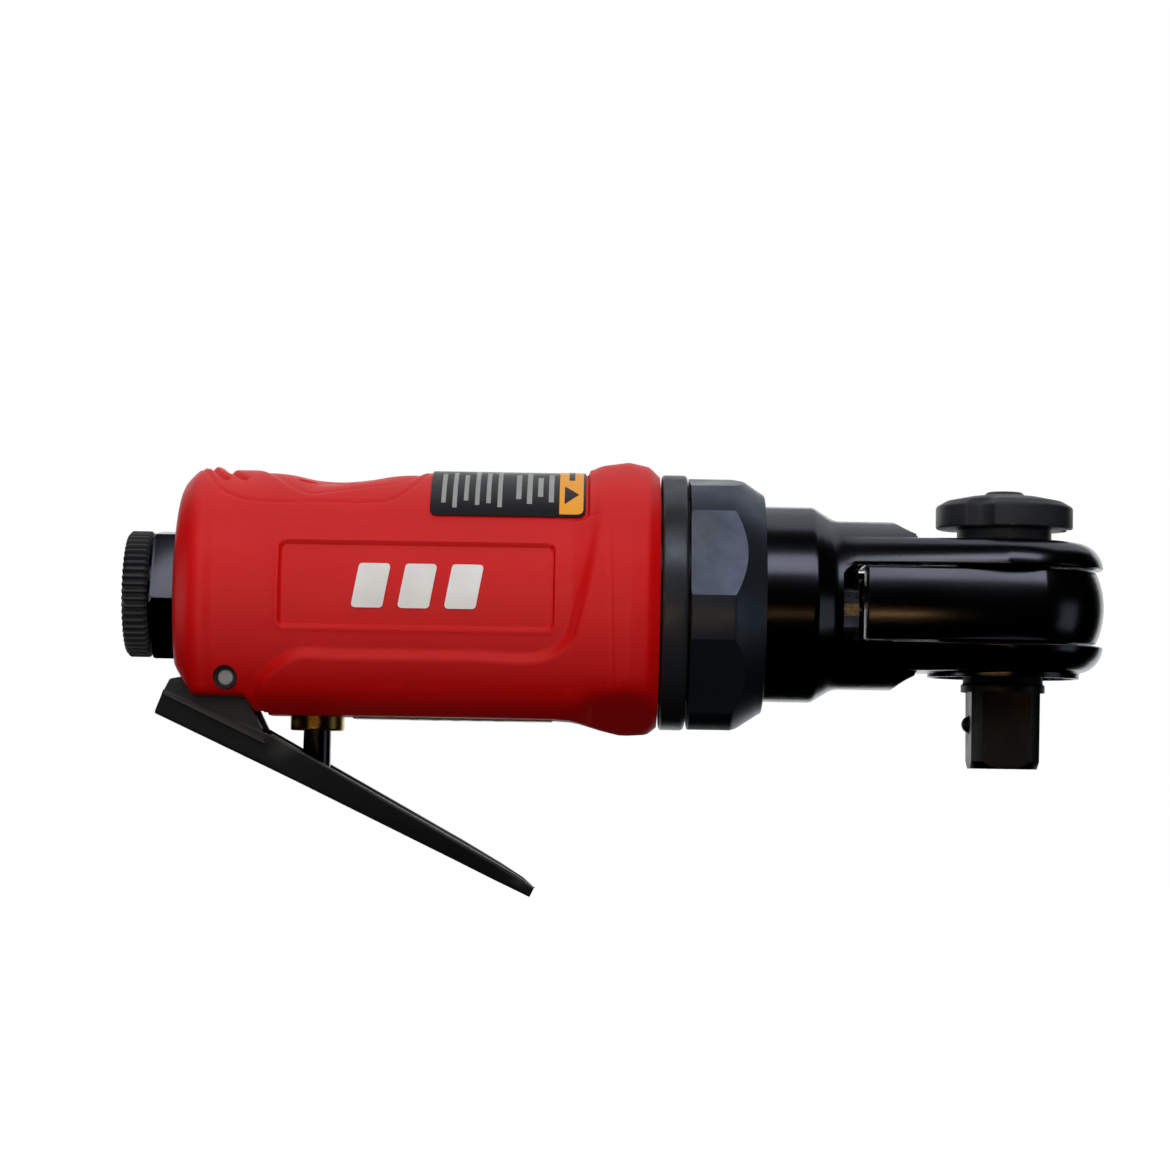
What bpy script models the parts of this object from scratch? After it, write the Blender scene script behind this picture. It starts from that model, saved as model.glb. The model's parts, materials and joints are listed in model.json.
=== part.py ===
"""Air ratchet with a 3/8 inch square drive.

The tool lies along X: air inlet at -X, ratchet head at +X, square drive pointing down.
The origin is the centre of the square drive's end face. Sizes here are in millimetres, and
places are given from the point where the tool's axis crosses the anvil's axis.
"""
import math

import bmesh
import bpy
from mathutils import Vector

MM = 0.001
GAP = 0.3                      # clearance between pieces that touch on the real tool

# Driving dimensions
AXIS_HEIGHT = 22.7             # the tool's axis above the square drive's end face
SQUARE_DRIVE = 9.53            # 3/8 inch
GRIP_RADIUS = 18.3
FLARE_RADIUS = 19.7
GRIP_REAR = -115.8
GRIP_FRONT = -48.9
UNDERSIDE = -17.2              # the flat along the bottom of the grip
INLET_HEX = 17.46              # 11/16 inch across flats
NUT_HEX = 34.3                 # across flats
NUT_RADIUS = 18.3              # the round lands that the hexagon is cut into
NECK_RADIUS = 13.8
TANG_RADIUS = 11.9
HEAD_RADIUS = 13.95
EAR_HEIGHT = 9.2               # from the axis to either outer face of the head
BOSS_RADIUS = 10.65            # the low boss under the head, round the retaining ring
BOSS_HEIGHT = 9.95
SLOT_HALF = 5.4
YOKE_RADIUS = 14.1
YOKE_HALF_WIDTH = 13.4
BALL_HEIGHT = -16.5
MOTOR_RADIUS = 13.95
VALVE_X = -96.6
LEVER_PIVOT = (-108.4, 0.0, -11.9)
LEVER_ANGLE = 24.9             # degrees below the tool's axis, at rest
LEVER_WALL = 1.5
LABEL_HALF_ANGLE = 52.5
LABEL_REAR = -80.8
LABEL_FRONT = -59.2
CRANK_THROW = 1.6
CRANK_PIN_RADIUS = 1.3
GEAR_MODULE = 0.6
PINION_TEETH = 12
PLANET_TEETH = 12
RING_TEETH = 36
PLANET_COUNT = 3
YOKE_TEETH = 36
VANE_COUNT = 5
KNURL_TEETH = 52
PAWL_PIVOT_X = 6.2
PAWL_TILT = 4.0                # degrees, the pawl's lean at rest
KNOB_LEAN = 25.0               # degrees, where the knob's detent ball points at rest
KNOB_RADIUS = 9.65
KNOB_NOTCHES = 3

ALONG_X = (0, math.radians(90), 0)      # turns a piece's own Z onto the tool's X
ALONG_Y = (math.radians(90), 0, 0)      # turns a piece's own Z onto -Y, and its Y onto Z

# name: (colour, roughness, metallic)
FINISHES = {
    "red_composite": ((0.48, 0.005, 0.008, 1), 0.45, 0.0),
    "black_steel": ((0.02, 0.022, 0.026, 1), 0.28, 0.9),
    "bright_steel": ((0.56, 0.56, 0.58, 1), 0.28, 1.0),
    "spring_steel": ((0.38, 0.38, 0.40, 1), 0.35, 1.0),
    "cast_iron": ((0.20, 0.20, 0.21, 1), 0.5, 0.9),
    "aluminium": ((0.72, 0.72, 0.74, 1), 0.4, 1.0),
    "brass": ((0.70, 0.50, 0.16, 1), 0.3, 1.0),
    "bronze": ((0.52, 0.33, 0.16, 1), 0.4, 1.0),
    "rubber": ((0.02, 0.02, 0.02, 1), 0.8, 0.0),
    "felt": ((0.55, 0.53, 0.47, 1), 0.95, 0.0),
    "resin": ((0.33, 0.20, 0.09, 1), 0.6, 0.0),
    "label": ((0.03, 0.03, 0.03, 1), 0.35, 0.0),
}


# Scene set-up

def clear_scene():
    for old in list(bpy.data.objects):
        bpy.data.objects.remove(old, do_unlink=True)


def new_collection(name):
    collection = bpy.data.collections.new(name)
    bpy.context.scene.collection.children.link(collection)
    return collection


def finish_material(name):
    existing = bpy.data.materials.get(name)
    if existing:
        return existing
    colour, roughness, metallic = FINISHES[name]
    material = bpy.data.materials.new(name)
    material.use_nodes = True
    shader = material.node_tree.nodes["Principled BSDF"]
    shader.inputs["Base Color"].default_value = colour
    shader.inputs["Roughness"].default_value = roughness
    shader.inputs["Metallic"].default_value = metallic
    return material


clear_scene()
PARTS = new_collection("air_ratchet")
CUTTERS = new_collection("cutters")


def new_empty(name, at, parent=None, turn=(0, 0, 0)):
    empty = bpy.data.objects.new(name, None)
    empty.location = Vector(at) * MM
    empty.rotation_euler = turn
    empty.parent = parent
    empty.empty_display_size = 0.01
    PARTS.objects.link(empty)
    return empty


TOOL_AXIS = new_empty("tool_axis", (0, 0, AXIS_HEIGHT))


def add_part(name, mesh, finish, at=(0, 0, 0), turn=(0, 0, 0), parent=TOOL_AXIS):
    """One named piece of the tool, in its own finish."""
    part = bpy.data.objects.new(name, mesh)
    part.location = Vector(at) * MM
    part.rotation_euler = turn
    part.parent = parent
    if not mesh.materials:
        mesh.materials.append(finish_material(finish))
    PARTS.objects.link(part)
    return part


def add_cutter(name, mesh, at=(0, 0, 0), turn=(0, 0, 0), parent=TOOL_AXIS):
    cutter = bpy.data.objects.new(name, mesh)
    cutter.location = Vector(at) * MM
    cutter.rotation_euler = turn
    cutter.parent = parent
    cutter.hide_render = True
    cutter.display_type = "WIRE"
    CUTTERS.objects.link(cutter)
    return cutter


def combine(part, other, operation="DIFFERENCE"):
    """Cuts another shape from a part, or joins or intersects the two."""
    modifier = part.modifiers.new(other.name, "BOOLEAN")
    modifier.operation = operation
    modifier.solver = "EXACT"
    modifier.object = other
    return part


# Outlines, in millimetres

def arc(centre, radius, start, end, steps):
    """Points along an arc, from one angle to another in degrees."""
    points = []
    for step in range(steps + 1):
        angle = math.radians(start + (end - start) * step / steps)
        points.append((centre[0] + radius * math.cos(angle), centre[1] + radius * math.sin(angle)))
    return points


def circle(radius, steps, centre=(0, 0)):
    return arc(centre, radius, 0, 360, steps)[:-1]


def polygon(across_flats, sides, lean=0):
    corner = across_flats / 2 / math.cos(math.pi / sides)
    return arc((0, 0), corner, lean, lean + 360, sides)[:-1]


def toothed_circle(teeth, root, tip, root_share, tip_share, phase=0.0):
    """A ring of straight-sided teeth; each share is the tooth's width over its pitch."""
    points = []
    pitch = 360 / teeth
    for tooth in range(teeth):
        middle = phase + tooth * pitch
        for share, radius in ((-root_share, root), (-tip_share, tip), (tip_share, tip), (root_share, root)):
            angle = math.radians(middle + share * pitch / 2)
            points.append((radius * math.cos(angle), radius * math.sin(angle)))
    return points


def zigzag_circle(teeth, tip, root):
    """A ring of pointed teeth."""
    points = []
    for index in range(teeth):
        for share, radius in ((0, tip), (0.5, root)):
            angle = math.tau * (index + share) / teeth
            points.append((radius * math.cos(angle), radius * math.sin(angle)))
    return points


# Meshes

def baked(holder):
    """The evaluated mesh of a curve or a modified object, welded and shaded by angle."""
    bpy.context.scene.collection.objects.link(holder)
    graph = bpy.context.evaluated_depsgraph_get()
    mesh = bpy.data.meshes.new_from_object(holder.evaluated_get(graph))
    shape = bmesh.new()
    shape.from_mesh(mesh)
    bmesh.ops.remove_doubles(shape, verts=shape.verts, dist=0.000001)
    shape.to_mesh(mesh)
    shape.free()
    mesh.name = holder.name
    bpy.data.objects.remove(holder, do_unlink=True)
    mesh.shade_smooth()
    mesh.set_sharp_from_angle(angle=math.radians(30))
    return mesh


def turned(name, outline, steps=24, closed=True, sweep=360):
    """A piece turned about its own Z axis.

    The outline runs up its outer side as (distance along the axis, radius), and back down
    its bore when it is closed. An open outline starts and ends on the axis.
    """
    points = [(radius * MM, 0, along * MM) for along, radius in reversed(outline)]
    edges = [(index, index + 1) for index in range(len(points) - 1)]
    if closed:
        edges.append((len(points) - 1, 0))
    mesh = bpy.data.meshes.new(name)
    mesh.from_pydata(points, edges, [])
    holder = bpy.data.objects.new(name, mesh)
    screw = holder.modifiers.new("turn", "SCREW")
    screw.angle = math.radians(sweep)
    screw.steps = steps
    screw.render_steps = steps
    screw.use_merge_vertices = True
    screw.merge_threshold = 0.000001
    return baked(holder)


def tube(name, start, end, outer, inner, steps=28):
    return turned(name, [(start, outer), (end, outer), (end, inner), (start, inner)], steps)


def rod(name, start, end, radius, steps=20, chamfer=0.0):
    outline = [(start, 0), (start, radius - chamfer), (start + chamfer, radius)]
    outline += [(end - chamfer, radius), (end, radius - chamfer), (end, 0)]
    if not chamfer:
        outline = [(start, 0), (start, radius), (end, radius), (end, 0)]
    return turned(name, outline, steps, closed=False)


def extruded(name, loops, thickness, bevel=0.0):
    """A flat outline, with holes, given a thickness about its own XY plane."""
    curve = bpy.data.curves.new(name, "CURVE")
    curve.dimensions = "2D"
    curve.fill_mode = "BOTH"
    curve.extrude = thickness / 2 * MM
    for loop in loops:
        spline = curve.splines.new("POLY")
        spline.points.add(len(loop) - 1)
        for point, (x, y) in zip(spline.points, loop):
            point.co = (x * MM, y * MM, 0, 1)
        spline.use_cyclic_u = True
    holder = bpy.data.objects.new(name, curve)
    mesh = baked(holder)
    if bevel:
        holder = bpy.data.objects.new(name, mesh)
        soften = holder.modifiers.new("soften", "BEVEL")
        soften.width = bevel * MM
        soften.segments = 1
        soften.limit_method = "ANGLE"
        soften.angle_limit = math.radians(60)
        mesh = baked(holder)
    return mesh


def block(name, low, high):
    """A box between two corners."""
    shape = bmesh.new()
    bmesh.ops.create_cube(shape, size=MM)
    size = Vector(high) - Vector(low)
    middle = (Vector(high) + Vector(low)) / 2 * MM
    bmesh.ops.scale(shape, vec=size, verts=shape.verts)
    bmesh.ops.translate(shape, vec=middle, verts=shape.verts)
    mesh = bpy.data.meshes.new(name)
    shape.to_mesh(mesh)
    shape.free()
    return mesh


def ball(name, radius, segments=12):
    shape = bmesh.new()
    bmesh.ops.create_uvsphere(shape, u_segments=segments, v_segments=segments // 2, radius=radius * MM)
    mesh = bpy.data.meshes.new(name)
    shape.to_mesh(mesh)
    shape.free()
    mesh.shade_smooth()
    return mesh


def ring(name, radius, thickness, segments=24):
    """An O-ring about its own Z axis, of a round section."""
    section = [(along, radius + out) for out, along in circle(thickness / 2, 6)]
    return turned(name, section, segments)


def coil(name, radius, wire, low, high, turns, points_per_turn=8):
    """A coil spring about its own Z axis."""
    curve = bpy.data.curves.new(name, "CURVE")
    curve.dimensions = "3D"
    curve.bevel_depth = wire / 2 * MM
    curve.bevel_resolution = 1
    curve.use_fill_caps = True
    spline = curve.splines.new("POLY")
    count = int(turns * points_per_turn)
    spline.points.add(count)
    for index, point in enumerate(spline.points):
        angle = math.tau * index / points_per_turn
        height = low + wire / 2 + (high - low - wire) * index / count
        point.co = (radius * math.cos(angle) * MM, radius * math.sin(angle) * MM, height * MM, 1)
    return baked(bpy.data.objects.new(name, curve))


def loft(name, sections):
    """A closed solid skinned over sections of equal point counts, with flat ends."""
    shape = bmesh.new()
    rings = [[shape.verts.new(Vector(point) * MM) for point in section] for section in sections]
    for first, second in zip(rings, rings[1:]):
        for index in range(len(first)):
            after = (index + 1) % len(first)
            shape.faces.new((first[index], first[after], second[after], second[index]))
    shape.faces.new(list(reversed(rings[0])))
    shape.faces.new(rings[-1])
    bmesh.ops.recalc_face_normals(shape, faces=shape.faces)
    mesh = bpy.data.meshes.new(name)
    shape.to_mesh(mesh)
    shape.free()
    mesh.shade_smooth()
    mesh.set_sharp_from_angle(angle=math.radians(30))
    return mesh


# The grip

def make_grip_housing():
    bore = MOTOR_RADIUS + 0.35
    outline = [(-105.5, 0), (-105.5, 7.5), (GRIP_REAR, 7.5)]
    outline += [(GRIP_REAR, GRIP_RADIUS - 6.3), (GRIP_REAR + 0.3, GRIP_RADIUS - 4.3)]
    outline += [(GRIP_REAR + 1.2, GRIP_RADIUS - 2.4), (GRIP_REAR + 2.6, GRIP_RADIUS - 0.9)]
    outline += [(GRIP_REAR + 4.2, GRIP_RADIUS - 0.1), (GRIP_REAR + 5.0, GRIP_RADIUS)]
    outline += [(-60.5, GRIP_RADIUS), (-57.6, 18.8), (-55.4, 19.5), (-54.0, FLARE_RADIUS)]
    outline += [(-51.4, 19.5), (GRIP_FRONT, GRIP_RADIUS)]
    outline += [(GRIP_FRONT, 15.2), (-61.9, 15.2), (-61.9, bore), (-91.0, bore), (-91.0, 0)]
    mesh = turned("grip_housing", outline, 40, closed=False)
    grip = add_part("grip_housing", mesh, "red_composite", turn=ALONG_X)

    rear_chamfer = [(-116.9, -8.3), (-116.9, -30), (-106, -30), (-106, -14.3), (-113.4, -14.3)]
    rear_chamfer = extruded("cut_rear_chamfer", [rear_chamfer], 60)
    combine(grip, add_cutter("cut_rear_chamfer", rear_chamfer, turn=ALONG_Y))
    flat = [(-107, UNDERSIDE), (-107, -30), (-61.0, -30), (-61.0, UNDERSIDE - 0.4), (-63.0, UNDERSIDE)]
    combine(grip, add_cutter("cut_underside", extruded("cut_underside", [flat], 60), turn=ALONG_Y))
    slot = block("cut_lever_slot", (-119.0, -7.0, -30.0), (-103.0, 7.0, -8.7))
    combine(grip, add_cutter("cut_lever_slot", slot))
    stepped = [(-20.0, 0), (-20.0, 1.65), (-9.4, 1.65), (-9.4, 1.45)]
    stepped += [(-along, radius) for along, radius in reversed(stepped)]
    pin_hole = turned("cut_pin_hole", stepped, 16, closed=False)
    combine(grip, add_cutter("cut_pin_hole", pin_hole, LEVER_PIVOT, ALONG_Y))
    combine(grip, add_cutter("cut_valve_bore", rod("cut_valve_bore", -20.0, 9.5, 4.1, 24), (VALVE_X, 0, 0)))
    combine(grip, add_cutter("cut_air_in", rod("cut_air_in", -106.5, VALVE_X, 2.8, 16), turn=ALONG_X))
    air_feed = rod("cut_air_feed", VALVE_X, -90.0, 1.8, 16)
    combine(grip, add_cutter("cut_air_feed", air_feed, (0, 0, -8.0), ALONG_X))
    recess = block("cut_plate_recess", (-91.6, -4.6, -19.0), (-63.2, 4.6, -16.0))
    combine(grip, add_cutter("cut_plate_recess", recess))
    port = block("cut_exhaust_port", (-84.0, -3.0, -17.0), (-70.0, 3.0, -13.0))
    combine(grip, add_cutter("cut_exhaust_port", port))
    label_recess = label_shell("cut_label_recess", 17.65, 19.5, 0.5, 3)
    combine(grip, add_cutter("cut_label_recess", label_recess, turn=ALONG_X))


def label_shell(name, inner, outer, margin, extra_angle):
    """A curved patch over the top of the grip; its own X points down from the tool's top."""
    sweep = 2 * (LABEL_HALF_ANGLE + extra_angle)
    points = [(inner * MM, 0, along * MM) for along in (LABEL_FRONT + margin, LABEL_REAR - margin)]
    mesh = bpy.data.meshes.new(name)
    mesh.from_pydata(points, [(0, 1)], [])
    holder = bpy.data.objects.new(name, mesh)
    screw = holder.modifiers.new("turn", "SCREW")
    screw.angle = math.radians(sweep)
    screw.steps = 14
    screw.render_steps = 14
    screw.merge_threshold = 0.000001
    shell = holder.modifiers.new("thickness", "SOLIDIFY")
    shell.thickness = (outer - inner) * MM
    shell.offset = 1
    patch = baked(holder)
    turn_to_top = math.radians(180 - sweep / 2)
    for vertex in patch.vertices:
        x, y = vertex.co.x, vertex.co.y
        vertex.co.x = x * math.cos(turn_to_top) - y * math.sin(turn_to_top)
        vertex.co.y = x * math.sin(turn_to_top) + y * math.cos(turn_to_top)
    return patch


def make_grip_trim():
    add_part("safety_label", label_shell("safety_label", 17.95, 18.2, 0, 0), "label", turn=ALONG_X)
    slots = []
    for index in range(5):
        middle = -83.0 + index * 3.0
        slots.append([(middle - 0.6, -2.2), (middle + 0.6, -2.2), (middle + 0.6, 2.2), (middle - 0.6, 2.2)])
    border = [(-91.3, -4.3), (-63.5, -4.3), (-63.5, 4.3), (-91.3, 4.3)]
    plate = extruded("underside_plate", [border] + slots, 0.8)
    add_part("underside_plate", plate, "aluminium", (0, 0, -16.7))
    add_part("exhaust_felt", block("exhaust_felt", (-83.7, -2.7, -15.9), (-70.3, 2.7, -14.7)), "felt")


# Air inlet

def make_inlet():
    outline = [(-123.2, 0), (-123.2, 7.2), (-110.3, 7.2), (-110.3, 5.9), (-108.3, 5.9), (-108.3, 7.2)]
    outline += [(-106.0, 7.2), (-106.0, 0)]
    blank = turned("inlet_bushing", outline, 28, closed=False)
    bushing = add_part("inlet_bushing", blank, "black_steel", turn=ALONG_X)
    hexagon = extruded("inlet_hex", [polygon(INLET_HEX, 6, lean=96)], 3.2, bevel=0.4)
    combine(bushing, add_cutter("inlet_hex", hexagon, (-117.65, 0, 0), ALONG_X), "UNION")
    bore = [(-126.0, 0), (-126.0, 5.7), (-114.0, 5.7), (-114.0, 3.4), (-104.0, 3.4), (-104.0, 0)]
    bore = turned("cut_inlet_bore", bore, 28, closed=False)
    combine(bushing, add_cutter("cut_inlet_bore", bore, turn=ALONG_X))
    seal = ring("inlet_seal", 6.7, 1.0, 20)
    add_part("inlet_seal", seal, "rubber", (-109.3, 0, 0), ALONG_X)
    holes = [circle(0.8, 6, place) for place in [(0, 0)] + circle(3.0, 6)]
    screen = extruded("inlet_screen", [circle(5.3, 18)] + holes, 0.6)
    add_part("inlet_screen", screen, "bright_steel", (-114.7, 0, 0), ALONG_X)
    knurl = zigzag_circle(KNURL_TEETH, 8.9, 8.35)
    regulator = extruded("regulator_ring", [knurl, circle(7.5, 28)], 3.6)
    add_part("regulator_ring", regulator, "black_steel", (-121.8, 0, 0), ALONG_X)


# Throttle valve and lever

def make_valve():
    seat_top = -5.0
    outer = [(-18.9, 3.4), (-18.5, 3.8), (seat_top, 3.8)]
    bore = [(seat_top, 3.0), (-11.0, 3.0), (-11.0, 2.25), (-14.2, 2.25), (-14.2, 3.4)]
    bore += [(-15.8, 3.4), (-15.8, 2.25), (-18.9, 2.25)]
    bushing = add_part("valve_bushing", turned("valve_bushing", outer + bore, 18), "brass", (VALVE_X, 0, 0))
    port = rod("cut_bushing_port", 0.0, 6.0, 1.5, 12)
    combine(bushing, add_cutter("cut_bushing_port", port, (VALVE_X, 0, -8.0), ALONG_X))
    add_part("stem_seal", ring("stem_seal", 2.85, 0.6, 16), "rubber", (VALVE_X, 0, -15.0))

    stem = [(-24.8, 0), (-24.8, 1.05), (-23.9, 1.95), (-5.1, 1.95), (-5.1, 1.0), (1.5, 1.0), (1.5, 0)]
    stem = turned("valve_stem", stem, 24, closed=False)
    add_part("valve_stem", stem, "black_steel", (VALVE_X, 0, 0))
    poppet = tube("valve_poppet", -4.7, -2.8, 3.4, 1.3, 24)
    add_part("valve_poppet", poppet, "rubber", (VALVE_X, 0, 0))
    spring = coil("valve_spring", 2.2, 0.6, -2.5, 9.2, 5)
    add_part("valve_spring", spring, "spring_steel", (VALVE_X, 0, 0))


def trough_section(u, half_width, top, web_half, bottom):
    """The lever's bent sheet at one station: out along its outside, back along its inside."""
    wall = LEVER_WALL
    lean = math.atan2(top - bottom, half_width - web_half)
    outside = [(half_width, top), (web_half + 0.6, bottom + 0.55), (web_half - 0.6, bottom)]
    inside = [(web_half - 1.0, bottom + wall), (half_width - wall / math.sin(lean), top)]
    mirrored = [(-y, w) for y, w in reversed(outside)]
    mirrored_inside = [(-y, w) for y, w in reversed(inside)]
    return [(u, y, w) for y, w in outside + mirrored + mirrored_inside + inside]


def make_lever():
    pivot = new_empty("lever_pivot", LEVER_PIVOT, TOOL_AXIS, (0, math.radians(LEVER_ANGLE), 0))
    rear = trough_section(-7.7, 6.4, -5.42, 4.4, -8.96)
    shoulder = trough_section(8.8, 6.5, -4.41, 4.0, -8.96)
    waist = trough_section(15.0, 7.4, -4.86, 3.9, -8.96)
    palm = trough_section(27.0, 8.0, -5.66, 3.9, -9.06)
    taper = trough_section(39.0, 7.8, -6.46, 3.8, -9.16)
    toe = trough_section(45.0, 6.6, -6.96, 3.4, -9.26)
    tip = trough_section(48.4, 4.2, -7.36, 2.6, -9.31)
    end = trough_section(50.8, 2.2, -7.7, 1.6, -9.4)
    trough = loft("throttle_lever", [rear, shoulder, waist, palm, taper, toe, tip, end])
    lever = add_part("throttle_lever", trough, "black_steel", parent=pivot)
    ear_outline = [(-7.6, -6.1), (-7.6, -3.66), (-3.9, -1.0)]
    ear_outline += arc((0, 0), 2.7, 165, 15, 8)
    ear_outline += [(4.2, -2.1), (7.4, -4.66), (8.4, -6.1)]
    hole = circle(1.45, 16)
    for side in (-1, 1):
        name = "lever_ear_right" if side < 0 else "lever_ear_left"
        ear = extruded(name, [ear_outline, hole], LEVER_WALL)
        combine(lever, add_cutter(name, ear, (0, side * 5.5, 0), ALONG_Y, pivot), "UNION")
    add_part("lever_pin", rod("lever_pin", -9.4, 9.4, 1.15, 16, 0.2), "bright_steel", LEVER_PIVOT, ALONG_Y)


# Air motor

MOTOR_PIN_HEIGHT = 12.0


def motor_pin_hole(part, name):
    hole = rod(name, -95.0, -60.0, 1.1, 12)
    combine(part, add_cutter(name, hole, (0, 0, MOTOR_PIN_HEIGHT), ALONG_X))


def make_motor():
    rear = add_part("rear_end_plate", tube("rear_end_plate", -90.4, -86.7, MOTOR_RADIUS, 5.7),
                    "cast_iron", turn=ALONG_X)
    motor_pin_hole(rear, "cut_pin_rear_plate")
    inlet_port = rod("cut_plate_port", -91.0, -86.0, 1.5, 12)
    combine(rear, add_cutter("cut_plate_port", inlet_port, (0, 0, -8.0), ALONG_X))
    front = add_part("front_end_plate", tube("front_end_plate", -66.9, -63.6, MOTOR_RADIUS, 5.7),
                     "cast_iron", turn=ALONG_X)
    motor_pin_hole(front, "cut_pin_front_plate")
    add_part("rear_bearing", tube("rear_bearing", -90.0, -87.0, 5.4, 3.2, 20), "bright_steel", turn=ALONG_X)
    add_part("front_bearing", tube("front_bearing", -66.6, -63.9, 5.4, 3.2, 20), "bright_steel", turn=ALONG_X)

    cylinder = add_part("motor_cylinder", rod("motor_cylinder", -86.4, -67.2, MOTOR_RADIUS, 32),
                        "cast_iron", turn=ALONG_X)
    bore = rod("cut_cylinder_bore", -88.0, -65.0, 11.2, 32)
    combine(cylinder, add_cutter("cut_cylinder_bore", bore, (0, 0, -1.2), ALONG_X))
    motor_pin_hole(cylinder, "cut_pin_cylinder")
    for index in range(3):
        start = -82.0 + index * 4.0
        port = block("cut_cylinder_port", (start, -3.0, -16.0), (start + 2.0, 3.0, -10.0))
        combine(cylinder, add_cutter("cut_cylinder_port", port))
    pin = rod("motor_pin", -90.0, -64.0, 0.8, 12, 0.2)
    add_part("motor_pin", pin, "bright_steel", (0, 0, MOTOR_PIN_HEIGHT), ALONG_X)

    shaft = [(-90.2, 0), (-90.2, 2.6), (-89.9, 2.9), (-86.3, 2.9), (-86.3, 9.7), (-67.3, 9.7)]
    shaft += [(-67.3, 2.9), (-63.5, 2.9), (-63.5, 1.6), (-51.2, 1.6), (-51.2, 0)]
    rotor = add_part("rotor", turned("rotor", shaft, 30, closed=False), "bright_steel", turn=ALONG_X)
    for index in range(VANE_COUNT):
        lean = math.tau * index / VANE_COUNT
        slot = block("cut_vane_slot", (4.6, -0.95, -87.0), (12.0, 0.95, -66.5))
        holder = new_empty("vane_frame", (0, 0, 0), TOOL_AXIS, ALONG_X)
        combine(rotor, add_cutter("cut_vane_slot", slot, turn=(0, 0, lean), parent=holder))
        vane = block(f"vane_{index + 1}", (4.9, -0.65, -86.2), (9.6, 0.65, -67.4))
        add_part(f"vane_{index + 1}", vane, "resin", turn=(0, 0, lean), parent=holder)


# Planetary gears

def make_gears():
    planet_ring = GEAR_MODULE * (PINION_TEETH + PLANET_TEETH) / 2
    pinion_pitch = GEAR_MODULE * PINION_TEETH / 2
    planet_pitch = GEAR_MODULE * PLANET_TEETH / 2
    ring_pitch = GEAR_MODULE * RING_TEETH / 2
    addendum = 0.5
    dedendum = 0.7
    pinion = toothed_circle(PINION_TEETH, pinion_pitch - dedendum, pinion_pitch + addendum, 0.52, 0.16)
    pinion_mesh = extruded("drive_pinion", [pinion, circle(1.9, 16)], 11.8)
    add_part("drive_pinion", pinion_mesh, "bright_steel", (-57.1, 0, 0), ALONG_X)

    ring_teeth = toothed_circle(RING_TEETH, ring_pitch + dedendum, ring_pitch - addendum, 0.52, 0.16)
    ring_mesh = extruded("ring_gear", [circle(12.9, 36), ring_teeth], 11.0)
    add_part("ring_gear", ring_mesh, "black_steel", (-55.7, 0, 0), ALONG_X)

    frame = new_empty("gear_frame", (0, 0, 0), TOOL_AXIS, ALONG_X)
    half_pitch = 180 / PLANET_TEETH
    for index, (across, up) in enumerate(circle(planet_ring, PLANET_COUNT)):
        lean = 360 * index / PLANET_COUNT
        teeth = toothed_circle(PLANET_TEETH, planet_pitch - dedendum, planet_pitch + addendum,
                               0.52, 0.16, lean + half_pitch)
        name = f"planet_gear_{index + 1}"
        mesh = extruded(name, [teeth, circle(1.5, 16)], 9.4)
        add_part(name, mesh, "bright_steel", (across, up, -55.3), parent=frame)
        name = f"planet_pin_{index + 1}"
        add_part(name, rod(name, -60.4, -45.9, 1.2, 12, 0.2), "bright_steel", (across, up, 0), parent=frame)
    return planet_ring


def make_crankshaft(planet_ring):
    outline = [(-49.6, 0), (-49.6, 11.0), (-45.6, 11.0), (-45.6, 6.6), (-38.4, 6.6), (-38.4, 5.0)]
    outline += [(-27.0, 5.0), (-27.0, 6.4), (-20.9, 6.4), (-20.9, 0)]
    mesh = turned("crankshaft", outline, 24, closed=False)
    crank = add_part("crankshaft", mesh, "bright_steel", turn=ALONG_X)
    pin = rod("crank_pin", -24.5, -16.3, CRANK_PIN_RADIUS, 12)
    combine(crank, add_cutter("crank_pin", pin, (0, 0, CRANK_THROW), ALONG_X), "UNION")
    frame = new_empty("carrier_frame", (0, 0, 0), TOOL_AXIS, ALONG_X)
    for across, up in circle(planet_ring, PLANET_COUNT):
        hole = rod("cut_carrier_hole", -50.0, -45.0, 1.5, 10)
        combine(crank, add_cutter("cut_carrier_hole", hole, (across, up, 0), parent=frame))
    add_part("crank_bearing", tube("crank_bearing", -37.6, -27.4, 7.5, 5.3), "bright_steel", turn=ALONG_X)
    bushing = [(-20.5, 1.8), (-20.1, 2.3), (-16.9, 2.3), (-16.5, 1.8)]
    bushing += [(-16.5, CRANK_PIN_RADIUS + GAP), (-20.5, CRANK_PIN_RADIUS + GAP)]
    bushing = turned("drive_bushing", bushing, 20)
    add_part("drive_bushing", bushing, "bright_steel", (0, 0, CRANK_THROW), ALONG_X)


# Collar and coupling nut

def make_coupling():
    outline = [(-61.6, 14.9), (-48.6, 14.9), (-48.6, 17.6), (-48.2, 18.0), (-45.4, 18.0), (-45.0, 17.6)]
    outline += [(-45.0, 14.5), (-41.0, 14.5), (-41.0, 13.2), (-61.6, 13.2)]
    add_part("threaded_collar", turned("threaded_collar", outline, 32), "black_steel", turn=ALONG_X)

    outline = [(-44.7, 17.9), (-44.3, NUT_RADIUS), (-38.6, NUT_RADIUS), (-37.0, 17.2)]
    outline += [(-34.9, 15.8), (-34.2, 15.4)]
    outline += [(-34.2, 14.15), (-37.9, 14.15), (-37.9, 14.9), (-44.7, 14.9)]
    nut = add_part("coupling_nut", turned("coupling_nut", outline, 36), "black_steel", turn=ALONG_X)
    flats = extruded("nut_flats", [polygon(NUT_HEX, 6, lean=98.8)], 14.0)
    combine(nut, add_cutter("nut_flats", flats, (-39.5, 0, 0), ALONG_X), "INTERSECT")


# Ratchet head

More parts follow.
